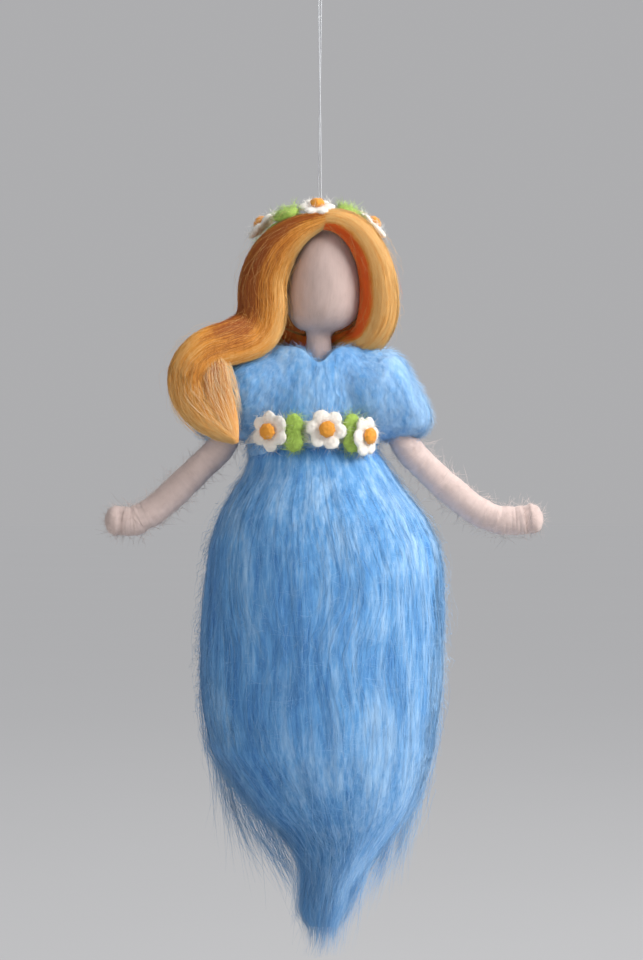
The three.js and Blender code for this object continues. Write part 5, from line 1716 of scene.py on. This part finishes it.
class FELTDOLL_OT_flowers(bpy.types.Operator):
    """Makes the belt, the wreath, their felt flowers and the green tufts between them"""

    bl_idname = "felt_doll.flowers"
    bl_label = "Flowers and belt"

    def execute(self, context):
        random = np.random.default_rng(101)
        white = tones(colours().petals, low=0.82, high=1.12)
        orange = tones(colours().centres, low=0.75, high=1.12)
        green = tones(colours().leaves, low=0.6, high=1.35)
        self.white, self.white_loose = needled_felt("petal_felt", white), fibre_wool("petal_fibres", white)
        self.orange = needled_felt("centre_felt", orange)
        self.orange_loose = fibre_wool("centre_fibres", orange)
        self.green, self.green_loose = needled_felt("tuft_felt", green), fibre_wool("tuft_fibres", green)
        flowers = [f"belt_flower_{s}" for s in ("left", "middle", "right")]
        flowers += [f"wreath_flower_{i}" for i in range(1, 6)]
        for name in flowers:
            self.flower(name, random)
        tufts = ["belt_leaf_left", "belt_leaf_right", *[f"wreath_leaf_{i}" for i in range(1, 6)]]
        for name in tufts:
            self.tuft(name, random)
        band = from_cad("felt_band", "belt_band", voxel=0.5, rounds=3)
        points = places(band)
        middle = points.mean(0)
        set_places(band, middle + (points - middle) * BAND_DRAWN_IN)
        roughen(band, size=1.5, strength=0.4)
        finished(band, "doll", self.white, "white_felt", "belt_band")
        fuzzed("felt_band_fuzz", band, 450, (1.0, 2.4), 0.035, random, "doll", self.white_loose,
               "white_felt", out=0.4)
        # A few blue fibres of the dress lie over the band
        fuzzed("belt_overlap_fuzz", band, 1100, (1.5, 4.5), 0.035, random, "doll",
               fibre_wool("belt_overlap_fibres", blues()), "blue_wool", (0.6, 0.12), steps=4, out=0.25)
        cord = from_cad("wreath_band", "wreath_cord", voxel=0.32, rounds=3)
        roughen(cord, size=1.2, strength=0.4)
        finished(cord, "doll", self.green, "leaf_felt", "wreath_cord")
        fuzzed("wreath_band_fuzz", cord, 550, (0.8, 2.2), 0.04, random, "doll", self.green_loose,
               "leaf_felt", steps=4, out=0.6)
        tie_turns("waist_binding", "waist_tie", WAIST_THREAD, "tie_thread", drawn_in=0.84)
        return {"FINISHED"}

    def petal(self, radius, turn_number, random):
        """One lobe of a flower that lies flat: a flattened ball whose outer end is a little raised."""
        petal = ball(14, 8)
        co = places(petal, 1)
        long = radius * 0.4 * random.uniform(0.88, 1.04)
        wide = radius * 0.42 * random.uniform(0.85, 1.05)
        local = co * [long, wide, PETAL_THICK]
        local[:, 2] += PETAL_THICK + 0.25 * (co[:, 0] + 1) * random.uniform(0.2, 1.1)
        local[:, 0] += radius - long
        turn = 2 * math.pi * turn_number / PETALS + random.normal(0, 0.05)
        across = local[:, 0] * math.cos(turn) - local[:, 1] * math.sin(turn)
        up = local[:, 0] * math.sin(turn) + local[:, 1] * math.cos(turn)
        return petal, np.stack([across, up, local[:, 2]], -1)

    def flower(self, name, random):
        """The petals on their disc and the orange middle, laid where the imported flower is."""
        base, facing, toward, radius = flower_place(name)
        nudge = np.array(NUDGES.get(name, (0, 0, 0)))
        base = base + nudge
        axes = np.stack([toward, np.cross(facing, toward), facing])
        disc = ball(24, 12)
        flat = places(disc, 1) * [radius * 0.76, radius * 0.76, PETAL_DISC] + [0, 0, PETAL_DISC]
        set_places(disc, base + flat @ axes)
        parts = [disc]
        for number in range(PETALS):
            petal, points = self.petal(radius, number, random)
            set_places(petal, base + points @ axes)
            parts.append(petal)
        petals = joined(f"{name}_felt", parts)
        fused(petals, voxel=0.24, rounds=6)
        roughen(petals, size=1.1, strength=0.45)
        finished(petals, "doll", self.white, "white_felt", f"{name}_petals")
        fuzzed(f"{name}_fuzz", petals, 520, (0.7, 2.3), 0.028, random, "doll", self.white_loose,
               "white_felt", (0.6, 0.15), steps=4)
        middle = from_cad(f"{name}_middle", f"{name}_centre", voxel=0.18, rounds=3)
        set_places(middle, places(middle) + nudge)
        roughen(middle, size=0.8, strength=0.35)
        finished(middle, "doll", self.orange, "orange_felt", f"{name}_centre")
        fuzzed(f"{name}_middle_fuzz", middle, 110, (0.4, 1.0), 0.028, random, "doll", self.orange_loose,
               "orange_felt", out=0.6)

    def tuft(self, name, random):
        """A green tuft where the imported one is, larger and looser."""
        tuft = from_cad(f"{name}_tuft", name, voxel=0.28, rounds=3)
        points = places(tuft)
        middle = points.mean(0)
        if name.startswith("wreath"):
            # The tuft over the left temple is the largest, and hangs over the hair
            temple = middle[0] < -4 and middle[1] < 0
            grown, moved = (1.5, [0, -1.4, -0.9]) if temple else (1.2, [0, 0, 0])
            set_places(tuft, middle + moved + (points - middle) * grown)
        else:
            high = np.abs(points[:, 2:] - middle[2]) / np.ptp(points[:, 2]) * 2
            points = middle + (points - middle) * (0.95 + 0.4 * smooth(0.1, 0.6, high)) * [1.15, 1.1, 0.85]
            set_places(tuft, points)
        roughen(tuft, size=1.0, strength=0.6)
        finished(tuft, "doll", self.green, "leaf_felt", name)
        fuzzed(f"{name}_wisps", tuft, 800, (0.9, 2.8), 0.032, random, "doll", self.green_loose,
               "leaf_felt", (0.55, 0.16), steps=4)


# Stage

class FELTDOLL_OT_stage(bpy.types.Operator):
    """Sets the camera, the lamps, the floor and the pale space behind"""

    bl_idname = "felt_doll.stage"
    bl_label = "Camera, lamps and floor"

    def execute(self, context):
        scene = context.scene
        stage = scene.felt_doll_stage
        bpy.ops.object.select_all(action="DESELECT")
        bpy.ops.object.camera_add(
            location=(VIEW_X, -stage.distance, VIEW_Z), rotation=(math.radians(90), 0, 0))
        camera = context.object
        camera.name = "camera"
        camera.data.sensor_width = SENSOR
        camera.data.lens = SENSOR * stage.distance / stage.view_height
        camera.data.clip_start = 0.05
        camera.data.dof.use_dof = False
        scene.camera = camera
        self.floor()
        for name, place, size, power in LAMPS:
            self.lamp(name, place, size, power * (stage.key if name == "key_lamp" else 1))
        world = bpy.data.worlds.new("studio")
        scene.world = world
        world.use_nodes = True
        tree = world.node_tree
        light = tree.nodes["Background"]
        light.inputs["Color"].default_value = (*SKY, 1)
        light.inputs["Strength"].default_value = SKY_STRENGTH
        seen = tree.nodes.new("ShaderNodeBackground")
        seen.inputs["Color"].default_value = (*BACKGROUND, 1)
        choice = tree.nodes.new("ShaderNodeMixShader")
        tree.links.new(choice.inputs["Fac"], seen_directly(tree))
        tree.links.new(choice.inputs[1], light.outputs[0])
        tree.links.new(choice.inputs[2], seen.outputs[0])
        tree.links.new(tree.nodes["World Output"].inputs["Surface"], choice.outputs[0])
        scene.view_settings.view_transform = "Standard"
        return {"FINISHED"}

    def lamp(self, name, place, size, power):
        bpy.ops.object.light_add(type="AREA", location=place)
        lamp = bpy.context.object
        lamp.name = name
        lamp.data.size = size
        lamp.data.energy = power
        lamp.rotation_mode = "QUATERNION"
        lamp.rotation_quaternion = (Vector(LAMP_AIM) - lamp.location).to_track_quat("-Z", "Y")

    def floor(self):
        """A pale floor well below the doll, as pale as the space behind."""
        bpy.ops.mesh.primitive_plane_add(size=1, location=(0, 0, 0))
        floor = bpy.context.object
        floor.name = "floor"
        corners = ((-1, -1), (1, -1), (1, 1), (-1, 1))
        points = [(x * FLOOR_REACH, y * FLOOR_REACH, FLOOR_Z) for x, y in corners]
        floor.data.clear_geometry()
        floor.data.from_pydata(points, [], [(0, 1, 2, 3)])
        finish = Finish("pale_floor", Roughness=0.9)
        paper = finish.noise(finish.coordinates("Object"), 4, 3)
        finish.colour(finish.ramp(paper, [(0.3, (0.5, 0.5, 0.5)), (0.7, (0.54, 0.54, 0.54))]))
        even = finish.node("ShaderNodeEmission", {"Color": (*FLOOR_GLOW, 1), "Strength": 1.0})
        seen = Value(finish, seen_directly(finish.tree)) * GLOW_SHARE
        shaders = {0: seen, 1: finish.shader.outputs[0], 2: even.outputs[0]}
        both = finish.node("ShaderNodeMixShader", shaders)
        output = next(n for n in finish.tree.nodes if n.bl_idname == "ShaderNodeOutputMaterial")
        finish.tree.links.new(output.inputs["Surface"], both.outputs[0])
        floor.data.materials.append(finish.material)


def seen_directly(tree):
    """One where the camera sees the background straight on, in a gloss or through clear nylon."""
    path = tree.nodes.new("ShaderNodeLightPath")
    total = path.outputs["Is Camera Ray"]
    for name in ("Is Glossy Ray", "Is Transmission Ray"):
        made = tree.nodes.new("ShaderNodeMath")
        made.operation = "MAXIMUM"
        tree.links.new(made.inputs[0], total)
        tree.links.new(made.inputs[1], path.outputs[name])
        total = made.outputs[0]
    return total


class FELTDOLL_PT_panel(bpy.types.Panel):
    """The doll's sizes and colours, and the steps that make it"""

    bl_label = "Felt Doll"
    bl_idname = "FELTDOLL_PT_panel"
    bl_space_type = "VIEW_3D"
    bl_region_type = "UI"
    bl_category = "Felt Doll"

    def draw(self, context):
        layout = self.layout
        for group in ("felt_doll_colours", "felt_doll_fibres", "felt_doll_stage"):
            settings = getattr(context.scene, group)
            box = layout.box()
            for name in settings.__annotations__:
                box.prop(settings, name)
        for step in STEPS:
            layout.operator(step.bl_idname)


STEPS = (
    FELTDOLL_OT_stage, FELTDOLL_OT_thread, FELTDOLL_OT_head, FELTDOLL_OT_dress, FELTDOLL_OT_skirt,
    FELTDOLL_OT_hair, FELTDOLL_OT_arms, FELTDOLL_OT_flowers,
)
GROUPS = {
    "felt_doll_colours": FeltDollColours,
    "felt_doll_fibres": FeltDollFibres,
    "felt_doll_stage": FeltDollStage,
}


def register():
    for kind in (*GROUPS.values(), *STEPS, FELTDOLL_PT_panel):
        bpy.utils.register_class(kind)
    for name, kind in GROUPS.items():
        setattr(bpy.types.Scene, name, bpy.props.PointerProperty(type=kind))


def unregister():
    for name in GROUPS:
        delattr(bpy.types.Scene, name)
    for kind in reversed((*GROUPS.values(), *STEPS, FELTDOLL_PT_panel)):
        bpy.utils.unregister_class(kind)


def main():
    register()
    for step in STEPS:
        group, name = step.bl_idname.split(".")
        if getattr(getattr(bpy.ops, group), name)() != {"FINISHED"}:
            raise RuntimeError(f"{step.bl_label} was not finished")


if __name__ == "__main__":
    main()
